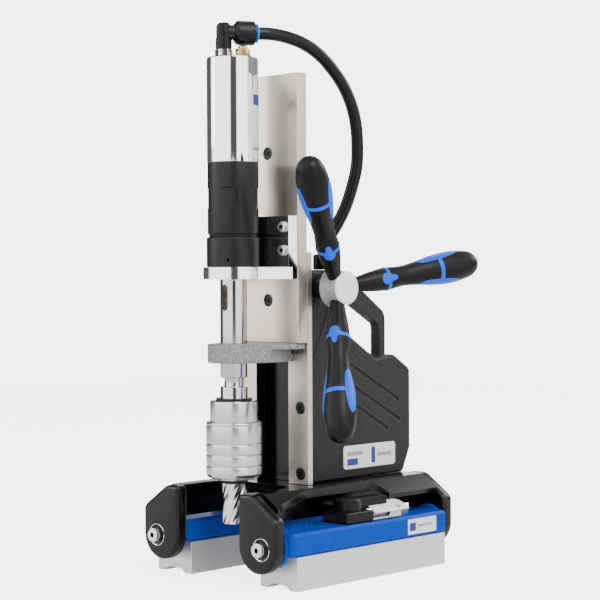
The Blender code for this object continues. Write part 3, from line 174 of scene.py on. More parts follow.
def make_world():
    """A white studio. Mirror-like surfaces also see a few dark upright panels in it."""
    world = bpy.data.worlds.new("studio")
    world.use_nodes = True
    tree = world.node_tree
    nodes, link = tree.nodes, tree.links.new
    background = nodes["Background"]
    where = nodes.new("ShaderNodeTexCoord")
    parts = nodes.new("ShaderNodeSeparateXYZ")
    link(where.outputs["Generated"], parts.inputs[0])
    azimuth = maths(tree, "ARCTAN2", parts.outputs["X"], maths(tree, "MULTIPLY", parts.outputs["Y"], -1.0))
    level = MIRRORED_LEVEL
    for centre, half, depth in STUDIO_DARKS:
        distance = maths(tree, "ABSOLUTE", maths(tree, "SUBTRACT", azimuth, math.radians(centre)))
        core, rim = math.radians(half) * 0.75, math.radians(half) * 1.15
        panel = ranged(tree, distance, core, rim, 1.0 - depth, 1.0, smooth=True)
        level = maths(tree, "MULTIPLY", panel, level)
    ray = nodes.new("ShaderNodeLightPath")
    choose = nodes.new("ShaderNodeMix")
    choose.data_type = "FLOAT"
    choose.inputs[FLOAT_FIRST].default_value = AMBIENT_LEVEL
    link(ray.outputs["Is Glossy Ray"], choose.inputs[FLOAT_SHARE])
    link(level, choose.inputs[FLOAT_SECOND])
    seen = nodes.new("ShaderNodeMix")
    seen.data_type = "FLOAT"
    seen.inputs[FLOAT_SECOND].default_value = BACKDROP_LEVEL
    link(ray.outputs["Is Camera Ray"], seen.inputs[FLOAT_SHARE])
    link(choose.outputs[0], seen.inputs[FLOAT_FIRST])
    link(seen.outputs[0], background.inputs["Strength"])
    background.inputs["Color"].default_value = (1.0, 1.0, 1.0, 1.0)
    bpy.context.scene.world = world


def make_stage():
    """A pale floor just under the object, and three soft lamps."""
    bpy.ops.mesh.primitive_plane_add(size=6.0, location=(0.0, 0.0, -0.0002))
    floor = bpy.context.object
    floor.name = "floor"
    material = bpy.data.materials.new("pale_floor")
    material.use_nodes = True
    tree = material.node_tree
    shader = tree.nodes["Principled BSDF"]
    shader.inputs["Base Color"].default_value = (0.93, 0.93, 0.93, 1.0)
    shader.inputs["Roughness"].default_value = 0.6
    shader.inputs["Emission Color"].default_value = (1.0, 1.0, 1.0, 1.0)
    ray = tree.nodes.new("ShaderNodeLightPath")
    glow = ranged(tree, ray.outputs["Is Camera Ray"], 0.0, 1.0, FLOOR_LIGHT, FLOOR_GLOW)
    tree.links.new(glow, shader.inputs["Emission Strength"])
    floor.data.materials.append(material)
    area_light("key_light", (1.5, -0.6, 1.9), LAMP_TARGET, (1.2, 1.2), 40)
    area_light("fill_light", (-1.8, -1.5, 1.2), LAMP_TARGET, (1.0, 1.6), 14)
    area_light("rear_light", (0.6, 2.0, 1.4), LAMP_TARGET, (1.6, 1.0), 24)


make_camera()


# ---------------------------------------------------------------- air hose

HOSE_RADIUS = 0.0073
HOSE_STEPS = 8
HOSE_ROUTE = (
    (0.0085, 0.0354, 0.6220),
    (0.0145, 0.0458, 0.6222),
    (0.0205, 0.0590, 0.6221),
    (0.0255, 0.0780, 0.6200),
    (0.0300, 0.0990, 0.6148),
    (0.0340, 0.1200, 0.6050),
    (0.0370, 0.1390, 0.5905),
    (0.0395, 0.1575, 0.5710),
    (0.0405, 0.1715, 0.5490),
    (0.0405, 0.1800, 0.5250),
    (0.0390, 0.1842, 0.5000),
    (0.0360, 0.1860, 0.4750),
    (0.0310, 0.1830, 0.4500),
    (0.0245, 0.1775, 0.4250),
    (0.0175, 0.1685, 0.4030),
    (0.0120, 0.1592, 0.3870),
    (0.0100, 0.1552, 0.3740),
    (0.0100, 0.1550, 0.3610),
)


def smooth_route(route, steps):
    """Points on a Catmull-Rom curve through the route's own points."""
    ends = [2 * Vector(route[0]) - Vector(route[1])], [2 * Vector(route[-1]) - Vector(route[-2])]
    knots = ends[0] + [Vector(p) for p in route] + ends[1]
    points = []
    for a, b, c, d in zip(knots, knots[1:], knots[2:], knots[3:]):
        for step in range(steps):
            t = step / steps
            bend = (2 * a - 5 * b + 4 * c - d) * t * t + (3 * b - a - 3 * c + d) * t**3
            points.append(0.5 * (2 * b + (c - a) * t + bend))
    return points + [knots[-2]]


# ---------------------------------------------------------------- materials

# The record's material slot that each made material belongs to.
SLOT_OF = {}
# The slow noise that colour, gloss and the edge wear with its painted highlight follow.
DRIFT_SCALE = 38.0
DRIFT_DETAIL = 7.0
DRIFT_ROUGHNESS = 0.62
COAT_ROUGHNESS = 0.06
LEAST_ROUGHNESS = 0.02


def finish(
    name,
    colour,
    roughness,
    metallic=0.0,
    spread=0.08,
    vary=0.10,
    grain=900.0,
    depth=0.00002,
    stretch=(1.0, 1.0, 1.0),
    cells=False,
    coat=0.0,
    edge_wear_and_highlight=None,
    flecks=None,
    slot=None,
    specular=0.5,
):
    """A grained surface whose edges are lightened, partly as wear and partly as a painted highlight: colour
    and gloss drift over it, and its grain stands out as relief.
    """
    material = bpy.data.materials.new(f"look_{name}")
    SLOT_OF[material.name] = slot or name
    material.use_nodes = True
    tree = material.node_tree
    nodes, link = tree.nodes, tree.links.new
    shader = nodes["Principled BSDF"]
    shader.inputs["Metallic"].default_value = metallic
    shader.inputs["Coat Weight"].default_value = coat
    shader.inputs["Coat Roughness"].default_value = COAT_ROUGHNESS
    shader.inputs["Specular IOR Level"].default_value = specular

    where = nodes.new("ShaderNodeTexCoord")
    mapping = nodes.new("ShaderNodeMapping")
    mapping.inputs["Scale"].default_value = stretch
    link(where.outputs["Object"], mapping.inputs["Vector"])

    drift = nodes.new("ShaderNodeTexNoise")
    drift.inputs["Scale"].default_value = DRIFT_SCALE
    drift.inputs["Detail"].default_value = DRIFT_DETAIL
    drift.inputs["Roughness"].default_value = DRIFT_ROUGHNESS
    link(where.outputs["Object"], drift.inputs["Vector"])

    fine = nodes.new("ShaderNodeTexVoronoi" if cells else "ShaderNodeTexNoise")
    fine.inputs["Scale"].default_value = grain
    if not cells:
        fine.inputs["Detail"].default_value = 4.0
    link(mapping.outputs["Vector"], fine.inputs["Vector"])
    relief = fine.outputs["Distance"] if cells else fine.outputs[0]

    tint = nodes.new("ShaderNodeMix")
    tint.data_type = "RGBA"
    tint.inputs[MIX_FIRST].default_value = (*[c * (1 - vary) for c in colour], 1.0)
    tint.inputs[MIX_SECOND].default_value = (*[min(1.0, c * (1 + vary)) for c in colour], 1.0)
    link(drift.outputs[0], tint.inputs[MIX_SHARE])
    shown = tint.outputs[MIX_RESULT]

    half_drift = maths(tree, "MULTIPLY", drift.outputs[0], 0.5)
    blend = maths(tree, "MULTIPLY_ADD", relief, 0.5, half_drift)
    gloss = ranged(tree, blend, 0.3, 0.7, max(LEAST_ROUGHNESS, roughness - spread), roughness + spread)
    link(gloss, shader.inputs["Roughness"])

    if flecks:
        share, fleck_colour = flecks
        dots = nodes.new("ShaderNodeTexNoise")
        dots.inputs["Scale"].default_value = grain * 1.4
        dots.inputs["Detail"].default_value = 2.0
        link(mapping.outputs["Vector"], dots.inputs["Vector"])
        mask = ranged(tree, dots.outputs[0], 0.62 - share, 0.72 - share)
        shown = over(tree, mask, shown, fleck_colour)

    if edge_wear_and_highlight:
        edge_wear_and_highlight_colour, reach = edge_wear_and_highlight
        rounded_normal = nodes.new("ShaderNodeBevel")
        rounded_normal.samples = 4
        rounded_normal.inputs["Radius"].default_value = reach
        geometry = nodes.new("ShaderNodeNewGeometry")
        match = nodes.new("ShaderNodeVectorMath")
        match.operation = "DOT_PRODUCT"
        link(rounded_normal.outputs[0], match.inputs[0])
        link(geometry.outputs["Normal"], match.inputs[1])
        # The more an edge turns its rounded normal away, the lighter it is made, in patches: partly wear,
        # partly a painted highlight along the edge.
        patchy = maths(tree, "MULTIPLY", drift.outputs[0], 0.10)
        wear_and_highlight_edge = maths(tree, "SUBTRACT", match.outputs["Value"], patchy)
        shown = over(tree, ranged(tree, wear_and_highlight_edge, 0.93, 0.80), shown, edge_wear_and_highlight_colour)
    link(shown, shader.inputs["Base Color"])

    bump = nodes.new("ShaderNodeBump")
    bump.inputs["Strength"].default_value = 1.0
    bump.inputs["Distance"].default_value = depth
    link(relief, bump.inputs["Height"])
    link(bump.outputs[0], shader.inputs["Normal"])
    return material


# How the grain is stretched by turning about the upright and by drawing along it.
TURNED = (0.02, 0.02, 1.0)
DRAWN = (1.0, 1.0, 0.012)
BLACK_COAT = finish(
    "black_coat", (0.002, 0.002, 0.002), 0.20, spread=0.05, vary=0.3, grain=300, depth=0.000008, coat=0.1,
    edge_wear_and_highlight=((0.05, 0.048, 0.045), 0.0008), specular=0.22
)
BLUE_COAT = finish(
    "blue_coat", (0.0, 0.052, 0.41), 0.28, spread=0.06, grain=300, depth=0.000001,
    edge_wear_and_highlight=((0.005, 0.10, 0.58), 0.0005), specular=0.05
)
SHOE_STEEL = finish(
    "shoe_steel", (0.66, 0.67, 0.67), 0.46, metallic=0.75, spread=0.1, grain=420, depth=0.00004,
    cells=True, flecks=(0.05, (0.80, 0.81, 0.81))
)
BRIGHT_STEEL = finish(
    "bright_steel", (0.80, 0.80, 0.81), 0.12, metallic=1, spread=0.04, vary=0.05, grain=2600,
    depth=0.000004, stretch=TURNED
)
MOTOR_STEEL = finish(
    "motor_steel", (0.96, 0.96, 0.965), 0.07, metallic=1, spread=0.03, vary=0.03, grain=2600,
    depth=0.000002, stretch=TURNED, slot="bright_steel"
)
DARK_STEEL = finish(
    "dark_steel", (0.006, 0.006, 0.0062), 0.40, metallic=0.05, vary=0.2, grain=2200, depth=0.00001,
    stretch=TURNED, edge_wear_and_highlight=((0.06, 0.06, 0.06), 0.0006), specular=0.25
)
BLACK_SCREW = finish(
    "black_screw", (0.015, 0.015, 0.016), 0.35, metallic=0.5, spread=0.1, vary=0.2, grain=1500,
    depth=0.00001, slot="dark_steel"
)
SATIN_ALUMINIUM = finish(
    "satin_aluminium", (0.61, 0.565, 0.50), 0.33, metallic=0.9, spread=0.07, vary=0.05, grain=1300,
    depth=0.000012, stretch=DRAWN
)
SPINDLE_STEEL = finish(
    "spindle_steel", (0.50, 0.48, 0.47), 0.13, metallic=1, spread=0.05, vary=0.08, grain=2600,
    depth=0.000004, stretch=TURNED, slot="bright_steel"
)
BRIGHT_ALUMINIUM = finish(
    "bright_aluminium", (0.88, 0.88, 0.88), 0.10, metallic=1, spread=0.04, vary=0.04, grain=1400,
    depth=0.000004, stretch=DRAWN
)
GREY_CASTING = finish(
    "grey_casting", (0.17, 0.175, 0.165), 0.50, metallic=0.1, spread=0.1, vary=0.50, grain=620,
    depth=0.00032, cells=True, flecks=(0.12, (0.42, 0.43, 0.42))
)
BLACK_CASTING = finish(
    "black_casting", (0.012, 0.0107, 0.0098), 0.50, spread=0.12, vary=0.45, grain=700, depth=0.00045,
    cells=True, flecks=(0.02, (0.06, 0.055, 0.05)), edge_wear_and_highlight=((0.11, 0.10, 0.095), 0.0012), specular=0.22
)
CHUCK_STEEL = finish(
    "chuck_steel", (0.55, 0.555, 0.56), 0.25, metallic=0.95, spread=0.05, vary=0.06, grain=2400,
    depth=0.000008, stretch=TURNED
)
CUTTER_STEEL = finish(
    "cutter_steel", (0.76, 0.75, 0.73), 0.17, metallic=1, spread=0.06, grain=1200, depth=0.00001,
    slot="bright_steel"
)
BLACK_PLASTIC = finish(
    "black_plastic", (0.0035, 0.0035, 0.004), 0.34, vary=0.2, grain=1400, depth=0.00003, specular=0.18
)
SOFT_GRIP = finish(
    "soft_grip", (0.003, 0.0027, 0.0024), 0.36, vary=0.25, grain=2000, cells=True, specular=0.16
)
GRIP_BLUE = finish(
    "grip_blue", (0.0, 0.105, 0.82), 0.36, spread=0.06, vary=0.08, grain=1500, depth=0.00001,
    specular=0.2, slot="soft_grip"
)
GREY_PLASTIC = finish(
    "grey_plastic", (0.27, 0.28, 0.295), 0.35, metallic=0.2, spread=0.06, vary=0.06, grain=1400,
    depth=0.00001
)
WHITE_PLASTIC = finish(
    "white_plastic", (0.96, 0.96, 0.96), 0.30, spread=0.06, vary=0.02, grain=1400, depth=0.00001,
    coat=0.3
)
LABEL_WHITE = finish(
    "label_white", (0.84, 0.84, 0.83), 0.35, spread=0.06, vary=0.03, grain=1600, depth=0.00001, coat=0.2,
    slot="white_plastic"
)


def plain_colour(name, colour, roughness, slot):
    """A printed mark's or a small moulding's colour."""
    return finish(name, colour, roughness, spread=0.06, vary=0.05, grain=1600, depth=0.00001, slot=slot)


LABEL_BLUE = plain_colour("label_blue", (0.0, 0.02, 0.25), 0.35, "white_plastic")
LABEL_GREY = plain_colour("label_grey", (0.30, 0.30, 0.32), 0.4, "white_plastic")
MARK_ORANGE = plain_colour("mark_orange", (0.75, 0.20, 0.05), 0.4, "white_plastic")
FITTING_BLUE = plain_colour("fitting_blue", (0.0, 0.22, 0.72), 0.35, "black_plastic")
BRASS = finish(
    "brass", (0.62, 0.42, 0.16), 0.26, metallic=1, vary=0.12, grain=1600, depth=0.00001, stretch=TURNED
)
# Bronze and the magnets' alloy show only on parts kept from the frame.
finish("bronze", (0.42, 0.26, 0.12), 0.38, metallic=1, vary=0.12, grain=1600, depth=0.00001)
finish("magnet_alloy", (0.28, 0.28, 0.29), 0.45, metallic=1, spread=0.1, vary=0.12, grain=1200)
HOSE_RUBBER = finish(
    "hose_rubber", (0.002, 0.002, 0.002), 0.26, spread=0.06, vary=0.2, grain=700, depth=0.000003,
    specular=0.22
)


# ---------------------------------------------------------------- mesh tools


def add(name, mesh, material, body, replaces=(), crease=38, edge=0.0):
    """Shifts a finished mesh into the CAD frame and makes it a piece that rides on a body."""
    mesh.transform(Matrix.Translation(ORIGIN))
    mesh.materials.clear()
    mesh.materials.append(material)
    mesh.shade_smooth()
    mesh.set_sharp_from_angle(angle=math.radians(crease))
    obj = bpy.data.objects.new(name, mesh)
    bpy.context.scene.collection.objects.link(obj)
    if edge:
        soften(obj, edge)
    if body:
        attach(obj, body)
    if replaces:
        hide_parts(*replaces)
    return obj


def soften(obj, width):
    """Rounds an object's edges and keeps its flat faces flat in the light."""
    edges = obj.modifiers.new("rounded_edges", "BEVEL")
    edges.width = width
    edges.segments = 3
    edges.limit_method = "ANGLE"
    edges.angle_limit = math.radians(30)
    edges.use_clamp_overlap = True
    edges.miter_outer = "MITER_ARC"
    normals = obj.modifiers.new("weighted_normals", "WEIGHTED_NORMAL")
    normals.keep_sharp = False
    normals.weight = 80


def mesh_of(bm):
    """A closed shape as a mesh, with its faces turned outward."""
    bmesh.ops.recalc_face_normals(bm, faces=bm.faces)
    if bm.calc_volume(signed=True) < 0:
        bmesh.ops.reverse_faces(bm, faces=bm.faces)
    mesh = bpy.data.meshes.new("shape")
    bm.to_mesh(mesh)
    bm.free()
    return mesh


def rounded(points, fillet, closed=False, steps=3):
    """A profile whose corners are replaced by small curves."""
    made = []
    count = len(points)
    for i, point in enumerate(points):
        if not closed and i in (0, count - 1):
            made.append(point)
            continue
        here = Vector(point)
        before = Vector(points[i - 1]) - here
        after = Vector(points[(i + 1) % count]) - here
        if before.angle(-after, 0.0) < math.radians(12):
            made.append(point)
            continue
        reach = min(fillet, before.length * 0.45, after.length * 0.45)
        start = here + before.normalized() * reach
        end = here + after.normalized() * reach
        for step in range(steps + 1):
            t = step / steps
            corner = start * (1 - t) ** 2 + here * 2 * t * (1 - t) + end * t * t
            made.append(tuple(corner))
    return made


def lathe(profile, sides=96, closed=False, fillet=0.0):
    """A solid turned about the local Z axis from (radius, height) points."""
    if fillet:
        profile = rounded(profile, fillet, closed)
    bm = bmesh.new()
    verts = [bm.verts.new((radius, 0.0, height)) for radius, height in profile]
    edges = [bm.edges.new(pair) for pair in zip(verts, verts[1:])]
    if closed:
        edges.append(bm.edges.new((verts[-1], verts[0])))
    bmesh.ops.spin(
        bm, geom=verts + edges, cent=(0, 0, 0), axis=(0, 0, 1), angle=2 * math.pi, steps=sides, use_merge=True
    )
    bmesh.ops.remove_doubles(bm, verts=bm.verts, dist=0.000001)
    return mesh_of(bm)


def block(low, high):
    """A box between two corners."""
    bm = bmesh.new()
    bmesh.ops.create_cube(bm, size=1.0)
    low, high = Vector(low), Vector(high)
    bmesh.ops.scale(bm, vec=high - low, verts=bm.verts)
    bmesh.ops.translate(bm, vec=(low + high) / 2, verts=bm.verts)
    return mesh_of(bm)


def hexagon(across_flats):
    """A hexagon's corners about zero."""
    radius = across_flats / math.sqrt(3)
    return [(radius * math.cos(i * math.pi / 3), radius * math.sin(i * math.pi / 3)) for i in range(6)]


def rounded_rectangle(half_x, half_y, radius):
    """A rectangle about zero with round corners."""
    points = []
    steps = 5
    for quarter, (sx, sy) in enumerate(((1, 1), (-1, 1), (-1, -1), (1, -1))):
        for step in range(steps + 1):
            angle = math.pi / 2 * (quarter + step / steps)
            x = sx * (half_x - radius) + radius * math.cos(angle)
            points.append((x, sy * (half_y - radius) + radius * math.sin(angle)))
    return points


def put(mesh, at, along=UP, roll=0.0):
    """Turns a mesh's local Z along a direction, rolls it about that and moves it."""
    aim = Vector(along).to_track_quat("Z", "Y").to_matrix().to_4x4()
    mesh.transform(Matrix.Translation(Vector(at)) @ aim @ Matrix.Rotation(roll, 4, "Z"))
    return mesh


def merged(*meshes):
    """Several meshes as one, each keeping its own surface."""
    bm = bmesh.new()
    for mesh in meshes:
        bm.from_mesh(mesh)
    return mesh_of(bm)


def shaped(mesh, cutters):
    """A mesh with each of the cutters taken out of it."""
    carriers = []
    for item in [mesh, *cutters]:
        obj = bpy.data.objects.new("carrier", item)
        bpy.context.scene.collection.objects.link(obj)
        carriers.append(obj)
    base = carriers[0]
    for cutter in carriers[1:]:
        modifier = base.modifiers.new("shape", "BOOLEAN")
        modifier.operation = "DIFFERENCE"
        modifier.object = cutter
        modifier.solver = "EXACT"
    bpy.context.view_layer.update()
    graph = bpy.context.evaluated_depsgraph_get()
    made = bpy.data.meshes.new_from_object(base.evaluated_get(graph))
    for obj in carriers:
        bpy.data.objects.remove(obj, do_unlink=True)
    return made


def node_mesh(node, whole_faces=True):
    """A CAD node's shape in the machine's frame, with its flat faces made whole if that is asked for."""
    bm = bmesh.new()
    bm.from_mesh(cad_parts[node].data)
    bmesh.ops.translate(bm, vec=-ORIGIN, verts=bm.verts)
    bmesh.ops.remove_doubles(bm, verts=bm.verts, dist=0.000002)
    if whole_faces:
        bmesh.ops.dissolve_limit(bm, angle_limit=math.radians(1.0), verts=bm.verts, edges=bm.edges)
    return mesh_of(bm)


def refine(node, material, body, edge, cuts=(), whole_faces=True):
    """Stands for a CAD node with its own shape, finished with rounded edges and any finer cuts."""
    mesh = node_mesh(node, whole_faces)
    if cuts:
        mesh = shaped(mesh, cuts)
    return add(f"{node}_shell", mesh, material, body, (node,), edge=edge)


def tube(points, radius, sides=32):
    """A round bar along points, with its section carried along without twist."""
    bm = bmesh.new()
    rings = []
    side = None
    for i, point in enumerate(points):
        along = (points[min(i + 1, len(points) - 1)] - points[max(i - 1, 0)]).normalized()
        side = along.orthogonal() if side is None else side - along * side.dot(along)
        side.normalize()
        other = along.cross(side)
        ring = []
        for k in range(sides):
            angle = 2 * math.pi * k / sides
            ring.append(bm.verts.new(point + radius * (side * math.cos(angle) + other * math.sin(angle))))
        rings.append(ring)
    for low, high in zip(rings, rings[1:]):
        for k in range(sides):
            bm.faces.new((low[k - 1], low[k], high[k], high[k - 1]))
    bm.faces.new(rings[0])
    bm.faces.new(rings[-1])
    return mesh_of(bm)


# A socket's floor as a share of the head's height, and how far each screw is turned.
SOCKET_FLOOR = 0.45
SCREW_TURN = math.radians(11)


def cap_screw(name, at, outward, material, body, node, head, height, socket, shank=None, fillet=0.0009):
    """A screw whose head stands outward from its seat. A shank is (radius, length)."""
    profile = [(0.0, height), (head, height), (head, 0.0)]
    if shank:
        profile += [(shank[0], 0.0), (shank[0], -shank[1]), (0.0, -shank[1])]
    else:
        profile += [(0.0, 0.0)]
    body_mesh = lathe(profile, 64, fillet=fillet)
    hole = put(slab(hexagon(socket), "Z", 0.0, height), (0, 0, height * SOCKET_FLOOR))
    mesh = put(shaped(body_mesh, [hole]), at, outward, SCREW_TURN)
    screw = add(f"{name}_body", mesh, material, body, (node,) if node else (), 35)
    # The faces inside the hex socket take dark steel: painted shade in the socket.
    screw.data.materials.append(DARK_STEEL)
    outward = Vector(outward)
    for face in screw.data.polygons:
        reach = face.center - ORIGIN - Vector(at)
        depth = reach.dot(outward)
        if 0.0 < depth < height * 0.98 and (reach - outward * depth).length < socket * 0.6:
            face.material_index = 1
    return screw


def slab(outline, axis, low, high):
    """An outline in the other two axes, raised along X, Y or Z from low to high."""
    bm = bmesh.new()
    place = {"X": 0, "Y": 1, "Z": 2}[axis]
    face = bm.faces.new([bm.verts.new((*point[:place], low, *point[place:])) for point in outline])
    made = bmesh.ops.extrude_face_region(bm, geom=[face])["geom"]
    raised = [item for item in made if isinstance(item, bmesh.types.BMVert)]
    step = {"X": RIGHT, "Y": BACK, "Z": UP}[axis] * (high - low)
    bmesh.ops.translate(bm, verts=raised, vec=step)
    return mesh_of(bm)


def eased(mesh, width, segments=4, angle=40, chosen=None):
    """A mesh with its sharp edges, or those of them that are chosen, rounded for good."""
    bm = bmesh.new()
    bm.from_mesh(mesh)
    limit = math.radians(angle)
    sharp = [edge for edge in bm.edges if len(edge.link_faces) == 2 and edge.calc_face_angle(0) > limit]
    if chosen:
        sharp = [edge for edge in sharp if chosen(edge)]
    bmesh.ops.bevel(
        bm, geom=sharp, offset=width, segments=segments, profile=0.5, affect="EDGES", clamp_overlap=True
    )
    return mesh_of(bm)


def mirrored(points):
    """An outline's right half, followed by its mirror image."""
    return points + [(-x, y) for x, y in reversed(points)]


def arc(centre, radius, start, end, steps):
    """Points on an arc between two angles in degrees."""
    angles = [math.radians(start + (end - start) * i / steps) for i in range(steps + 1)]
    return [(centre[0] + radius * math.cos(a), centre[1] + radius * math.sin(a)) for a in angles]


def flipped(mesh):
    """The same shape on the machine's other side."""
    twin = mesh.copy()
    twin.transform(Matrix.Scale(-1, 4, RIGHT))
    twin.flip_normals()
    return twin


def sided(sign, mesh):
    """A right-hand shape on the side with this sign."""
    return flipped(mesh) if sign < 0 else mesh


# ---------------------------------------------------------------- hose piece


def build_hose():
    """The air hose from the elbow on the slide to the port on the stand."""
    points = smooth_route(HOSE_ROUTE, HOSE_STEPS)
    hose = add("air_hose_tube", tube(points, HOSE_RADIUS), HOSE_RUBBER, None, ("air_hose",), 60)
    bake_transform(hose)


build_hose()
make_world()
make_stage()


# ---------------------------------------------------------------- bridge and magnets

EAR_THICKNESS = 0.016
EAR_RADIUS = 0.0295
EAR_X = SWIVEL_X - 0.0065
EAR_LIFT = 0.0015
# Where an ear's top ends, and where its slanted shoulder meets the round part.
EAR_CORNER = 0.0695
EAR_SHOULDER = 0.079
EAR_ROUNDING = 0.0052
RECESS_RADIUS = 0.0128
RECESS_DEPTH = 0.003
PIVOT_HEIGHT = middle("right_front_pivot_screw").z
BRIDGE_LOW, BRIDGE_HIGH = span("bridge_frame")


def outside_recess(edge):
    """Whether an edge of an ear is on its rim, away from the screw's recess."""
    reach = [math.hypot(vert.co.x - SWIVEL_X, vert.co.z - PIVOT_HEIGHT) for vert in edge.verts]
    return min(reach) > 0.020


def build_bridge():
    """Bent roof with sloping wings and inner webs, and an ear at each corner."""
    right = [
        (0.075, 0.105), (0.097, 0.0901), (0.095, 0.0841), (0.073, 0.0975), (0.0625, 0.0975),
        (0.0625, 0.069), (0.057, 0.069), (0.057, 0.098),
    ]
    start = BRIDGE_LOW.y + EAR_THICKNESS
    end = BRIDGE_HIGH.y - EAR_THICKNESS
    roof = slab(mirrored(right), "Y", start, end)
    wing = [
        (0.130, -0.0145), (0.094, -0.0115), (0.0775, 0.050), (0.0775, 0.166), (0.094, 0.174),
        (0.130, 0.176),
    ]
    wing = slab(rounded(wing, 0.012, True, 6), "Z", 0.060, 0.120)
    nose = [(0.057, -0.040), (0.057, 0.030)] + arc((0.029, 0.030), 0.028, 0, 90, 12)[1:]
    nose = slab(mirrored(nose), "Z", 0.080, 0.130)
    roof = shaped(roof, [wing, flipped(wing), nose])
    add("bridge_roof", roof, BLACK_COAT, "stand", ("bridge_frame",), 38, 0.0014)
    for side, sign in SIDES:
        foot = arc((EAR_X, PIVOT_HEIGHT + EAR_LIFT), EAR_RADIUS, 0, -180, 40)
        top = BRIDGE_HIGH.z
        outline = [(EAR_X - EAR_RADIUS, top), (EAR_CORNER, top), (EAR_X + EAR_RADIUS, EAR_SHOULDER)]
        outline = rounded(outline + foot, 0.006, True, 5)
        for end_name, outward, low, face in (
            ("front", -1, BRIDGE_LOW.y, BRIDGE_LOW.y),
            ("rear", 1, BRIDGE_HIGH.y - EAR_THICKNESS, BRIDGE_HIGH.y),
        ):
            ear = slab(outline, "Y", low, low + EAR_THICKNESS)
            seat = (SWIVEL_X, face, PIVOT_HEIGHT)
            recess = [(0, 0.006), (RECESS_RADIUS, 0.006), (RECESS_RADIUS, -RECESS_DEPTH), (0, -RECESS_DEPTH)]
            recess = put(lathe(recess, 72), seat, BACK * outward)
            bore = lathe([(0, 0.02), (0.0053, 0.02), (0.0053, -0.03), (0, -0.03)], 48)
            bore = put(bore, seat, BACK * outward)
            ear = eased(shaped(ear, [recess, bore]), EAR_ROUNDING, 6, 60, outside_recess)
            rim = [(RECESS_RADIUS, 0.0), (0.0124, 0.0004), (0.0118, 0.0)]
            rim += [(0.0117, -0.0029), (RECESS_RADIUS, -0.0029)]
            rim = put(lathe(rim, 72, True), seat, BACK * outward)
            add(f"{side}_{end_name}_ear", sided(sign, ear), BLACK_COAT, "stand", (), 30)
            add(f"{side}_{end_name}_recess_rim", sided(sign, rim), BRIGHT_STEEL, "stand", (), 30)
            floor = Vector((sign * SWIVEL_X, face - outward * 0.0027, PIVOT_HEIGHT))
            name = f"{side}_{end_name}_pivot_screw"
            shank = (0.005, 0.02)
            cap_screw(name, floor, BACK * outward, BRIGHT_STEEL, "stand", name, 0.008, 0.010, 0.0058, shank)


def build_magnets():
    """Each foot: the ground pole shoe, the blue housing and its switch."""
    for side, _ in SIDES:
        body = f"{side}_magnet"
        refine(f"{side}_pole_shoe", SHOE_STEEL, body, 0.0006)
        refine(f"{side}_magnet_housing", BLUE_COAT, body, 0.0022)
        refine(f"{side}_switch_base", BLACK_PLASTIC, body, 0.0012)
        refine(f"{side}_switch_lever", BLACK_PLASTIC, f"{side}_switch", 0.0010)


# ---------------------------------------------------------------- column


# The guide's inner faces behind its bright rails, coloured black as painted shade.
PAINTED_SHADE_HALF_WIDTH = 0.031
PAINTED_SHADE_FRONT = 0.0776


def build_column():
    """Guide, casting, slide and the two brackets on it, with their screws."""
    guide = refine("column_guide", SATIN_ALUMINIUM, "stand", 0.0005)
    # Faces deep in the channel between the rails take black coat: painted shade.
    guide.data.materials.append(BLACK_COAT)
    for face in guide.data.polygons:
        place = face.center - ORIGIN
        if abs(place.x) < PAINTED_SHADE_HALF_WIDTH and place.y > PAINTED_SHADE_FRONT:
            face.material_index = 1
    step = [(0.070, 0.370), (0.140, 0.370), (0.121, 0.299), (0.095, 0.245), (0.095, 0.100), (0.070, 0.100)]
    step = slab(step, "X", 0.0472, 0.060)
    refine("column_housing", BLACK_CASTING, "stand", 0.0012, [step, flipped(step)], whole_faces=False)
    for side, _ in SIDES:
        refine(f"{side}_shaft_bearing", DARK_STEEL, "stand", 0.0004)
    groove = block((0.0380, 0.0600, 0.26), (0.0390, 0.0652, 0.58))
    refine("feed_slide", SATIN_ALUMINIUM, "slide", 0.0006, [groove, flipped(groove)])
    for name, height in (("upper", 0.4862), ("lower", 0.3168)):
        seat = (0.0070, 0.0685, height)
        cap_screw(f"{name}_slide_screw", seat, -BACK, BLACK_SCREW, "slide", None, 0.0068, 0.0022, 0.0060)
    flank = [(0.0350, 0.0185), (0.0575, 0.0560), (0.0600, 0.0560), (0.0600, 0.0185)]
    flank = slab(flank, "Z", 0.340, 0.3549)
    refine("motor_bracket", BRIGHT_ALUMINIUM, "slide", 0.0010, [flank, flipped(flank)])
    refine("steady_bracket", GREY_CASTING, "slide", 0.0012)
    for side, sign in SIDES:
        seat = (sign * 0.0455, 0.0695, 0.2614)
        cap_screw(f"{side}_steady_screw", seat, -UP, BLACK_SCREW, "slide", None, 0.0048, 0.0062, 0.0050)
    for side, _ in SIDES:
        for row in (1, 2):
            node = f"{side}_guide_screw_{row}"
            low, high = span(node)
            seat = (middle(node).x, low.y + 0.0035, middle(node).z)
            radius, shank = (high.x - low.x) / 2, (0.002, 0.010)
            cap_screw(node, seat, -BACK, BLACK_SCREW, "stand", node, radius, 0.0035, 0.005, shank)
            node = f"{side}_bracket_screw_{row}"
            seat = (middle(node).x, span(node)[1].y, middle(node).z)
            fillet = 0.0020
            cap_screw(node, seat, -BACK, SATIN_ALUMINIUM, "slide", node, 0.0061, 0.0034, 0.0050, None, fillet)


# ---------------------------------------------------------------- feed wheel

# How far the grips lean outward, the first one's angle from upright, and how far from the middle they start.
GRIP_DISH = math.radians(19)
GRIP_FIRST = math.radians(-39.4)
GRIP_START = 0.018
# The blue inlays stand this far out of a grip, and their rims this far inside it.
INLAY_LIFT = 0.00035
INLAY_ROOT = -0.0004
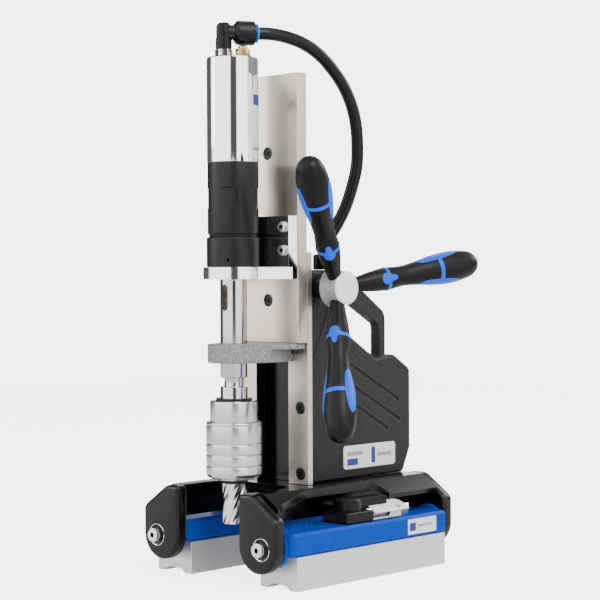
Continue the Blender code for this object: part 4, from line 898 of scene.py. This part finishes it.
# A grip's (radius, place along it).
GRIP_PROFILE = (
    (0.0080, 0.000),
    (0.0092, 0.012),
    (0.0120, 0.030),
    (0.0134, 0.047),
    (0.0119, 0.068),
    (0.0142, 0.091),
    (0.0172, 0.110),
    (0.0187, 0.135),
    (0.0162, 0.156),
    (0.0125, 0.1655),
    (0.0070, 0.1705),
    (0.0000, 0.172),
)


def smooth_grip():
    """The grip's outline as a curve through its given points."""
    knots = smooth_route([(radius, 0.0, along) for radius, along in GRIP_PROFILE], 6)
    return [(max(0.0, p.x), p.z) for p in knots]


GRIP_CURVE = smooth_grip()


def grip_radius(along):
    """A grip's radius at a place along it."""
    for (r0, s0), (r1, s1) in zip(GRIP_CURVE, GRIP_CURVE[1:]):
        if s0 <= along <= s1 and s1 > s0:
            return r0 + (r1 - r0) * (along - s0) / (s1 - s0)
    return 0.0


def on_grip(along, angle, lift):
    """A point on a grip's surface, or lifted from it."""
    radius = grip_radius(along) + lift
    return Vector((radius * math.cos(angle), radius * math.sin(angle), along))


def grip_patch(centre, reach, angle, half_width):
    """A thin oval on a grip's surface."""
    bm = bmesh.new()
    rows, around, edge = 5, 48, 0.96
    lifts = [INLAY_ROOT] + [INLAY_LIFT] * rows
    shares = [1.0] + [edge - edge * i / (rows - 1) for i in range(rows)]
    rings = []
    for share, lift in zip(shares, lifts):
        ring = []
        for k in range(around):
            turn = 2 * math.pi * k / around
            along = centre + reach * share * math.cos(turn)
            swing = half_width * share * math.sin(turn) / max(0.006, grip_radius(along))
            ring.append(bm.verts.new(on_grip(along, angle + swing, lift)))
        rings.append(ring)
    for outer, innermost in zip(rings, rings[1:]):
        for k in range(around):
            bm.faces.new((outer[k - 1], outer[k], innermost[k], innermost[k - 1]))
    bmesh.ops.contextual_create(bm, geom=rings[-1])
    return mesh_of(bm)


def grip_band(start, end):
    """A thin ring right round a grip."""
    bm = bmesh.new()
    rings = []
    around = 72
    slope = 0.0003
    for along, lift in (
        (start, INLAY_ROOT),
        (start + slope, INLAY_LIFT),
        (end - slope, INLAY_LIFT),
        (end, INLAY_ROOT),
    ):
        turns = [2 * math.pi * k / around for k in range(around)]
        rings.append([bm.verts.new(on_grip(along, turn, lift)) for turn in turns])
    for outer, inner in zip(rings, rings[1:]):
        for k in range(around):
            bm.faces.new((outer[k - 1], outer[k], inner[k], inner[k - 1]))
    return mesh_of(bm)


def build_wheel():
    """The feed wheel: its shaft, hub, cap and three grips with blue inlays."""
    refine("pinion_shaft", BRIGHT_STEEL, "feed_wheel", 0.0)
    axis = Vector((0.0, WHEEL.y, WHEEL.z))
    hub = [
        (0.0, 0.093), (0.0190, 0.093), (0.0193, 0.085), (0.0205, 0.078), (0.0230, 0.075),
        (0.0230, 0.073), (0.0, 0.073),
    ]
    hub = put(lathe(hub, 96, fillet=0.001), axis, RIGHT)
    add("wheel_hub_body", hub, GREY_PLASTIC, "feed_wheel", ("wheel_hub",), 30)
    cap = [(0.0, 0.0966), (0.0165, 0.0966), (0.0190, 0.0955), (0.0192, 0.0933), (0.0, 0.0933)]
    cap = put(lathe(cap, 96, fillet=0.0006), axis, RIGHT)
    add("hub_cap_face", cap, WHITE_PLASTIC, "feed_wheel", ("hub_cap",), 50)
    spacer = [(0.0120, 0.0727), (0.0120, 0.0525), (0.0073, 0.0525), (0.0073, 0.0727)]
    spacer = put(lathe(spacer, 64, True), axis, RIGHT)
    add("hub_spacer_ring", spacer, DARK_STEEL, "feed_wheel", ("hub_spacer",), 30)
    for index in range(3):
        angle = GRIP_FIRST + 2 * math.pi * index / 3
        outward = Vector((0.0, math.sin(angle), math.cos(angle)))
        direction = outward * math.cos(GRIP_DISH) + RIGHT * math.sin(GRIP_DISH)
        root = Vector((0.080, WHEEL.y, WHEEL.z)) + direction * GRIP_START
        # The azimuth that the inlays face, from the machine's front towards its right side.
        facing = math.radians(25 if index == 2 else 43)
        front = Vector((math.sin(facing), -math.cos(facing), 0.0))
        front = (front - direction * front.dot(direction)).normalized()
        turn = Matrix((front, direction.cross(front), direction)).transposed().to_4x4()
        place = Matrix.Translation(root) @ turn
        name = f"grip_{index + 1}"
        handle = lathe(GRIP_CURVE, 72)
        handle.transform(place)
        add(f"{name}_body", handle, SOFT_GRIP, "feed_wheel", (name,), 60)
        inlays = [
            grip_band(0.1125, 0.1180),
            grip_band(0.0435, 0.0480),
            grip_patch(0.115, 0.0275, math.radians(68), 0.0085),
            grip_patch(0.115, 0.0275, math.radians(-68), 0.0085),
        ]
        for side in (0.0, math.pi):
            inlays.append(grip_patch(0.0430, 0.0075, side, 0.0072))
            inlays.append(grip_patch(0.0510, 0.0055, side, 0.0036))
        blue = merged(*inlays)
        blue.transform(place)
        add(f"{name}_inlays", blue, GRIP_BLUE, "feed_wheel", (), 60)


# ---------------------------------------------------------------- drill line


def turned(name, profile, material, body, node=None, sides=96, fillet=0.0004, closed=False, cuts=()):
    """A piece turned about the drill spindle's axis."""
    mesh = lathe(profile, sides, closed, fillet)
    mesh.transform(Matrix.Translation((0.0, SPINDLE_Y, 0.0)))
    if cuts:
        mesh = shaped(mesh, cuts)
    return add(name, mesh, material, body, (node,) if node else (), 30)


SLEEVE_RADIUS = 0.0321


def ring_groove(height):
    """Profile points of a narrow groove round the release sleeve."""
    bottom = SLEEVE_RADIUS - 0.0008
    return [
        (SLEEVE_RADIUS, height + 0.0010),
        (bottom, height + 0.0003),
        (bottom, height - 0.0003),
        (SLEEVE_RADIUS, height - 0.0010),
    ]


def facing_cut(outline, half_width, azimuth):
    """A cutter with an outline of (distance from the spindle's axis, height), facing an azimuth from -Y."""
    mesh = slab(outline, "Y", -half_width, half_width)
    mesh.transform(Matrix.Rotation(math.radians(azimuth - 90), 4, "Z"))
    mesh.transform(Matrix.Translation((0.0, SPINDLE_Y, 0.0)))
    return mesh


def build_drill_line():
    """The motor, gearbox and collar, and below them the spindle, chuck, release sleeve and cutter."""
    notch = facing_cut([(0.0255, 0.5740), (0.0255, 0.600), (0.040, 0.600), (0.040, 0.5595)], 0.03, 113)
    motor = [(0.0, 0.5930), (0.0279, 0.5930), (0.0294, 0.5915), (0.0294, 0.4739), (0.0, 0.4739)]
    turned("air_motor_shell", motor, MOTOR_STEEL, "slide", "air_motor_housing", 128, cuts=[notch])
    flat = [(0.0268, 0.4232), (0.0268, 0.4438), (0.0330, 0.4500), (0.0330, 0.4170)]
    flats = [facing_cut(flat, 0.03, azimuth) for azimuth in (36, 126, 216, -54)]
    gearbox = [(0.0, 0.4737), (0.029, 0.4737), (0.029, 0.393)]
    gearbox += [(0.0275, 0.3921), (0.0275, 0.3895), (0.0, 0.3895)]
    turned("gearbox_shell", gearbox, DARK_STEEL, "slide", "gearbox_housing", 128, cuts=flats)
    facing = Vector((math.sin(math.radians(35)), -math.cos(math.radians(35)), 0.0))
    collar_side = Vector((0.0, SPINDLE_Y, 0.363)) + 0.0303 * facing
    hole = put(lathe([(0, 0.010), (0.0022, 0.010), (0.0022, -0.006), (0, -0.006)], 32), collar_side, facing)
    collar = [(0.0293, 0.3892), (0.0303, 0.388), (0.0303, 0.3563)]
    collar += [(0.0298, 0.3553), (0.0238, 0.3553), (0.0238, 0.3892)]
    turned("clamp_collar_ring", collar, DARK_STEEL, "slide", "clamp_collar", 128, closed=True, cuts=[hole])

    spindle = [
        (0.0, 0.3970), (0.0153, 0.3970), (0.0153, 0.2304), (0.0143, 0.2294), (0.0110, 0.2294),
        (0.0110, 0.2197), (0.0155, 0.2190), (0.0155, 0.2055), (0.0205, 0.2055), (0.0205, 0.2038),
        (0.0, 0.2038),
    ]
    straight, end_radius = 0.0109, 0.0041
    outline = arc((0.0, straight), end_radius, 0, 180, 16) + arc((0.0, -straight), end_radius, 180, 360, 16)
    slot = slab(outline, "Y", -0.03, 0.03)
    slot.transform(Matrix.Translation((0.0, SPINDLE_Y, 0.3205)) @ Matrix.Rotation(math.radians(5), 4, "Z"))
    turned("drill_spindle_shell", spindle, SPINDLE_STEEL, "spindle", "drill_spindle", 96, cuts=[slot])

    chuck = [
        (0.0, 0.2035), (0.0262, 0.2035), (0.0275, 0.2022), (0.0275, 0.1775), (0.0200, 0.1775),
        (0.0200, 0.1135), (0.0145, 0.1130), (0.0145, 0.1093), (0.0, 0.1093),
    ]
    turned("chuck_shell", chuck, CHUCK_STEEL, "spindle", "chuck_body", 128, 0.0008)
    sleeve = [
        (0.0279, 0.1795), (0.0312, 0.1795), (SLEEVE_RADIUS, 0.1786), *ring_groove(0.1757),
        *ring_groove(0.1550), *ring_groove(0.1424), *ring_groove(0.1297), (SLEEVE_RADIUS, 0.1205),
        (0.0306, 0.1170), (0.0271, 0.1155), (0.0204, 0.1155), (0.0204, 0.1215), (0.0279, 0.1215),
    ]
    seal = [(0.0, 0.1136), (0.0150, 0.1136), (0.0153, 0.1128)]
    seal += [(0.0153, 0.1100), (0.0145, 0.1094), (0.0, 0.1094)]
    turned("cutter_seal_ring", seal, DARK_STEEL, "spindle", None, 96)
    shim = [(0.0112, 0.2062), (0.0207, 0.2062), (0.0207, 0.2036), (0.0112, 0.2036)]
    turned("chuck_top_ring", shim, DARK_STEEL, "spindle", None, 96, 0.0002, True)
    turned("release_sleeve_shell", sleeve, CHUCK_STEEL, "sleeve", "release_sleeve", 128, 0.0010, True)
    refine("annular_cutter", CUTTER_STEEL, "spindle", 0.0003)
    low, high = span("sleeve_spring")
    wire, coil_radius = 0.0011, 0.0240
    turns, steps = 4.5, 24
    coil = []
    for index in range(int(turns * steps) + 1):
        angle = 2 * math.pi * index / steps
        height = low.z + wire + (high.z - low.z - 2 * wire) * index / (turns * steps)
        x, y = coil_radius * math.cos(angle), coil_radius * math.sin(angle)
        coil.append(Vector((x, SPINDLE_Y + y, height)))
    spring = add("sleeve_spring_coil", tube(coil, wire, 12), BRIGHT_STEEL, "spindle", ("sleeve_spring",), 60)
    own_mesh(spring)


# ---------------------------------------------------------------- air line


# Where the hose elbow's nut and the exhaust silencer stand on the motor, how high, and how they are turned.
ELBOW_AT = (-0.0070, 0.0085)
SILENCER_AT = (0.0085, 0.0235)
MOTOR_TOP = 0.5931
NUT_TURN = math.radians(43)


def hexagon_nut(across_flats, height, at):
    """A hexagon nut with eased edges, standing at a point."""
    nut = eased(slab(hexagon(across_flats), "Z", 0.0, height), 0.0006, 3, 30)
    return put(nut, at, UP, NUT_TURN)


def build_air_line():
    """The fittings on the motor's top, and the port and valve on the casting."""
    nut = hexagon_nut(0.0178, 0.0085, (*ELBOW_AT, 0.5938))
    washer = lathe([(0, 0.0012), (0.0096, 0.0012), (0.0096, 0), (0, 0)], 64, fillet=0.0003)
    washer = put(washer, (*ELBOW_AT, MOTOR_TOP))
    add("elbow_nut_body", merged(nut, washer), BRIGHT_STEEL, "slide", ("elbow_nut",), 25)
    refine("hose_elbow", BLACK_PLASTIC, "slide", 0.0006)
    silencer = hexagon_nut(0.0150, 0.0100, (*SILENCER_AT, MOTOR_TOP))
    cap = lathe([(0, 0.0125), (0.0040, 0.0125), (0.0052, 0.0115), (0.0052, 0.009), (0, 0.009)], 48)
    cap = put(cap, (*SILENCER_AT, 0.5943))
    add("exhaust_silencer_body", merged(silencer, cap), BRASS, "slide", ("exhaust_silencer",), 25)
    refine("hose_port", BLACK_PLASTIC, "stand", 0.0005)
    refine("air_valve_body", BRASS, "stand", 0.0006)
    refine("air_inlet_nipple", BRIGHT_STEEL, "stand", 0.0003)
    refine("air_valve_lever", BLACK_COAT, "air_valve", 0.0010)


# ---------------------------------------------------------------- plates and stickers


def on_side(name, low, high, at_x, thickness, material, body, radius, sides=SIDES):
    """A rounded plate on a side face, from (Y, Z) to (Y, Z), on each side of the machine."""
    half_y, half_z = (high[0] - low[0]) / 2, (high[1] - low[1]) / 2
    centre = ((high[0] + low[0]) / 2, (high[1] + low[1]) / 2)
    outline = [(centre[0] + y, centre[1] + z) for y, z in rounded_rectangle(half_y, half_z, radius)]
    for side, sign in sides:
        mesh = sided(sign, slab(outline, "X", at_x, at_x + thickness))
        add(f"{side}_{name}", mesh, material, body.format(side=side), (), 30)


# How deep a plate or a mark is sunk, how thick a mark is, and the faces that the plates lie on.
SUNK = 0.0002
MARK_THICKNESS = 0.0003
CASTING_SIDE = 0.0480
PLATE_TOP = CASTING_SIDE + 0.0009
MAGNET_SIDE = 0.115
STICKER_TOP = MAGNET_SIDE + 0.0004
# Each mark's name, its low and high corners in (Y, Z), and its colour.
PLATE_MARKS = (
    ("plate_block", (0.153, 0.1205), (0.172, 0.1285), LABEL_BLUE),
    ("plate_bar", (0.153, 0.1320), (0.180, 0.1365), LABEL_GREY),
    ("plate_mark", (0.196, 0.1210), (0.203, 0.1400), LABEL_BLUE),
    ("plate_line", (0.207, 0.1285), (0.232, 0.1325), LABEL_GREY),
)
STICKER_MARKS = (
    ("sticker_bar", (0.203, 0.0500), (0.230, 0.0528), LABEL_GREY),
    ("sticker_block", (0.188, 0.0460), (0.199, 0.0556), LABEL_BLUE),
)


def build_plates():
    """Blank plates and stickers, with plain bars for their print."""
    right = SIDES[1:]
    low, high = (0.147, 0.1165), (0.2396, 0.144)
    on_side("name_plate", low, high, CASTING_SIDE - 0.0003, 0.0012, LABEL_WHITE, "stand", 0.004, right)
    for name, low, high, material in PLATE_MARKS:
        on_side(name, low, high, PLATE_TOP - SUNK, MARK_THICKNESS, material, "stand", 0.001, right)
    body = "{side}_magnet"
    low, high = (0.185, 0.0420), (0.2365, 0.0598)
    on_side("magnet_sticker", low, high, MAGNET_SIDE - SUNK, 0.0005, LABEL_WHITE, body, 0.0015)
    for name, low, high, material in STICKER_MARKS:
        on_side(name, low, high, STICKER_TOP - SUNK, MARK_THICKNESS, material, body, 0.0008)


def build_motor_sticker():
    """A blank white sticker round the motor's right side, with plain marks."""
    for name, material, angles, heights, radius in (
        ("motor_sticker", LABEL_WHITE, (-2, 60), (0.478, 0.556), 0.02950),
        ("motor_sticker_block", LABEL_BLUE, (8, 50), (0.538, 0.550), 0.02965),
        ("motor_sticker_bar", LABEL_GREY, (8, 50), (0.487, 0.491), 0.02965),
    ):
        start, end = angles
        centre = (0.0, SPINDLE_Y)
        outline = arc(centre, radius, start, end, 32) + arc(centre, 0.0290, end, start, 32)
        add(name, slab(outline, "Z", *heights), material, "slide", (), 30)


def build_switch_scales():
    """A white scale plate behind each switch, on a small steel foot."""
    for side, sign in SIDES:
        body = f"{side}_magnet"
        outline = [(0.0925, 0.131), (0.1125, 0.131), (0.1125, 0.190)]
        outline += arc((0.1045, 0.178), 0.012, 90, 180, 24)
        plate = eased(slab(outline, "Z", 0.0, 0.0012), 0.0003, 2, 50)
        mark = slab([(0.1045, 0.172), (0.1100, 0.174), (0.1080, 0.180), (0.1040, 0.178)], "Z", 0.0011, 0.0015)
        outer_edge = Vector((0.1125, 0.0, 0.0726))
        seat = Matrix.Translation(outer_edge) @ Matrix.Rotation(math.radians(30.0), 4, "Y")
        seat = seat @ Matrix.Translation((-outer_edge.x, 0.0, 0.0))
        foot = [(0.131, 0.0642), (0.181, 0.0642), (0.181, 0.0744)]
        foot += [(0.163, 0.0744), (0.160, 0.0672), (0.131, 0.0672)]
        foot = slab(foot, "X", 0.1030, 0.1085)
        for mesh in (plate, mark):
            mesh.transform(seat)
        add(f"{side}_scale_plate", sided(sign, plate), WHITE_PLASTIC, body, (), 30)
        add(f"{side}_scale_mark", sided(sign, mark), MARK_ORANGE, body, (), 30)
        add(f"{side}_scale_foot", sided(sign, foot), SATIN_ALUMINIUM, body, (), 30, 0.0008)


def build_fittings():
    """The blue release ring round the hose at the elbow's mouth."""
    out = Vector((math.cos(math.radians(60)), math.sin(math.radians(60)), 0.0))
    mouth = Vector((*ELBOW_AT, 0.622)) + out * 0.0368
    ring = [(0.0077, 0.0), (0.0098, 0.0), (0.0108, 0.0012), (0.0108, 0.0026), (0.0077, 0.0030)]
    add("release_ring", put(lathe(ring, 72, True), mouth, out), FITTING_BLUE, "slide", (), 30)


# ---------------------------------------------------------------- parts kept from the frame


def finish_kept():
    """The inner parts keep their own shapes and take on the same grained surfaces, edge wear and painted edge
    highlights included.
    """
    looks = {slot: bpy.data.materials[name] for name, slot in SLOT_OF.items() if name == f"look_{slot}"}
    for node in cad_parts.values():
        for index, old in enumerate(node.data.materials):
            if old and old.name in looks:
                node.data.materials[index] = looks[old.name]


build_bridge()
build_magnets()
build_column()
build_wheel()
build_drill_line()
build_air_line()
build_plates()
build_motor_sticker()
build_switch_scales()
build_fittings()
finish_kept()
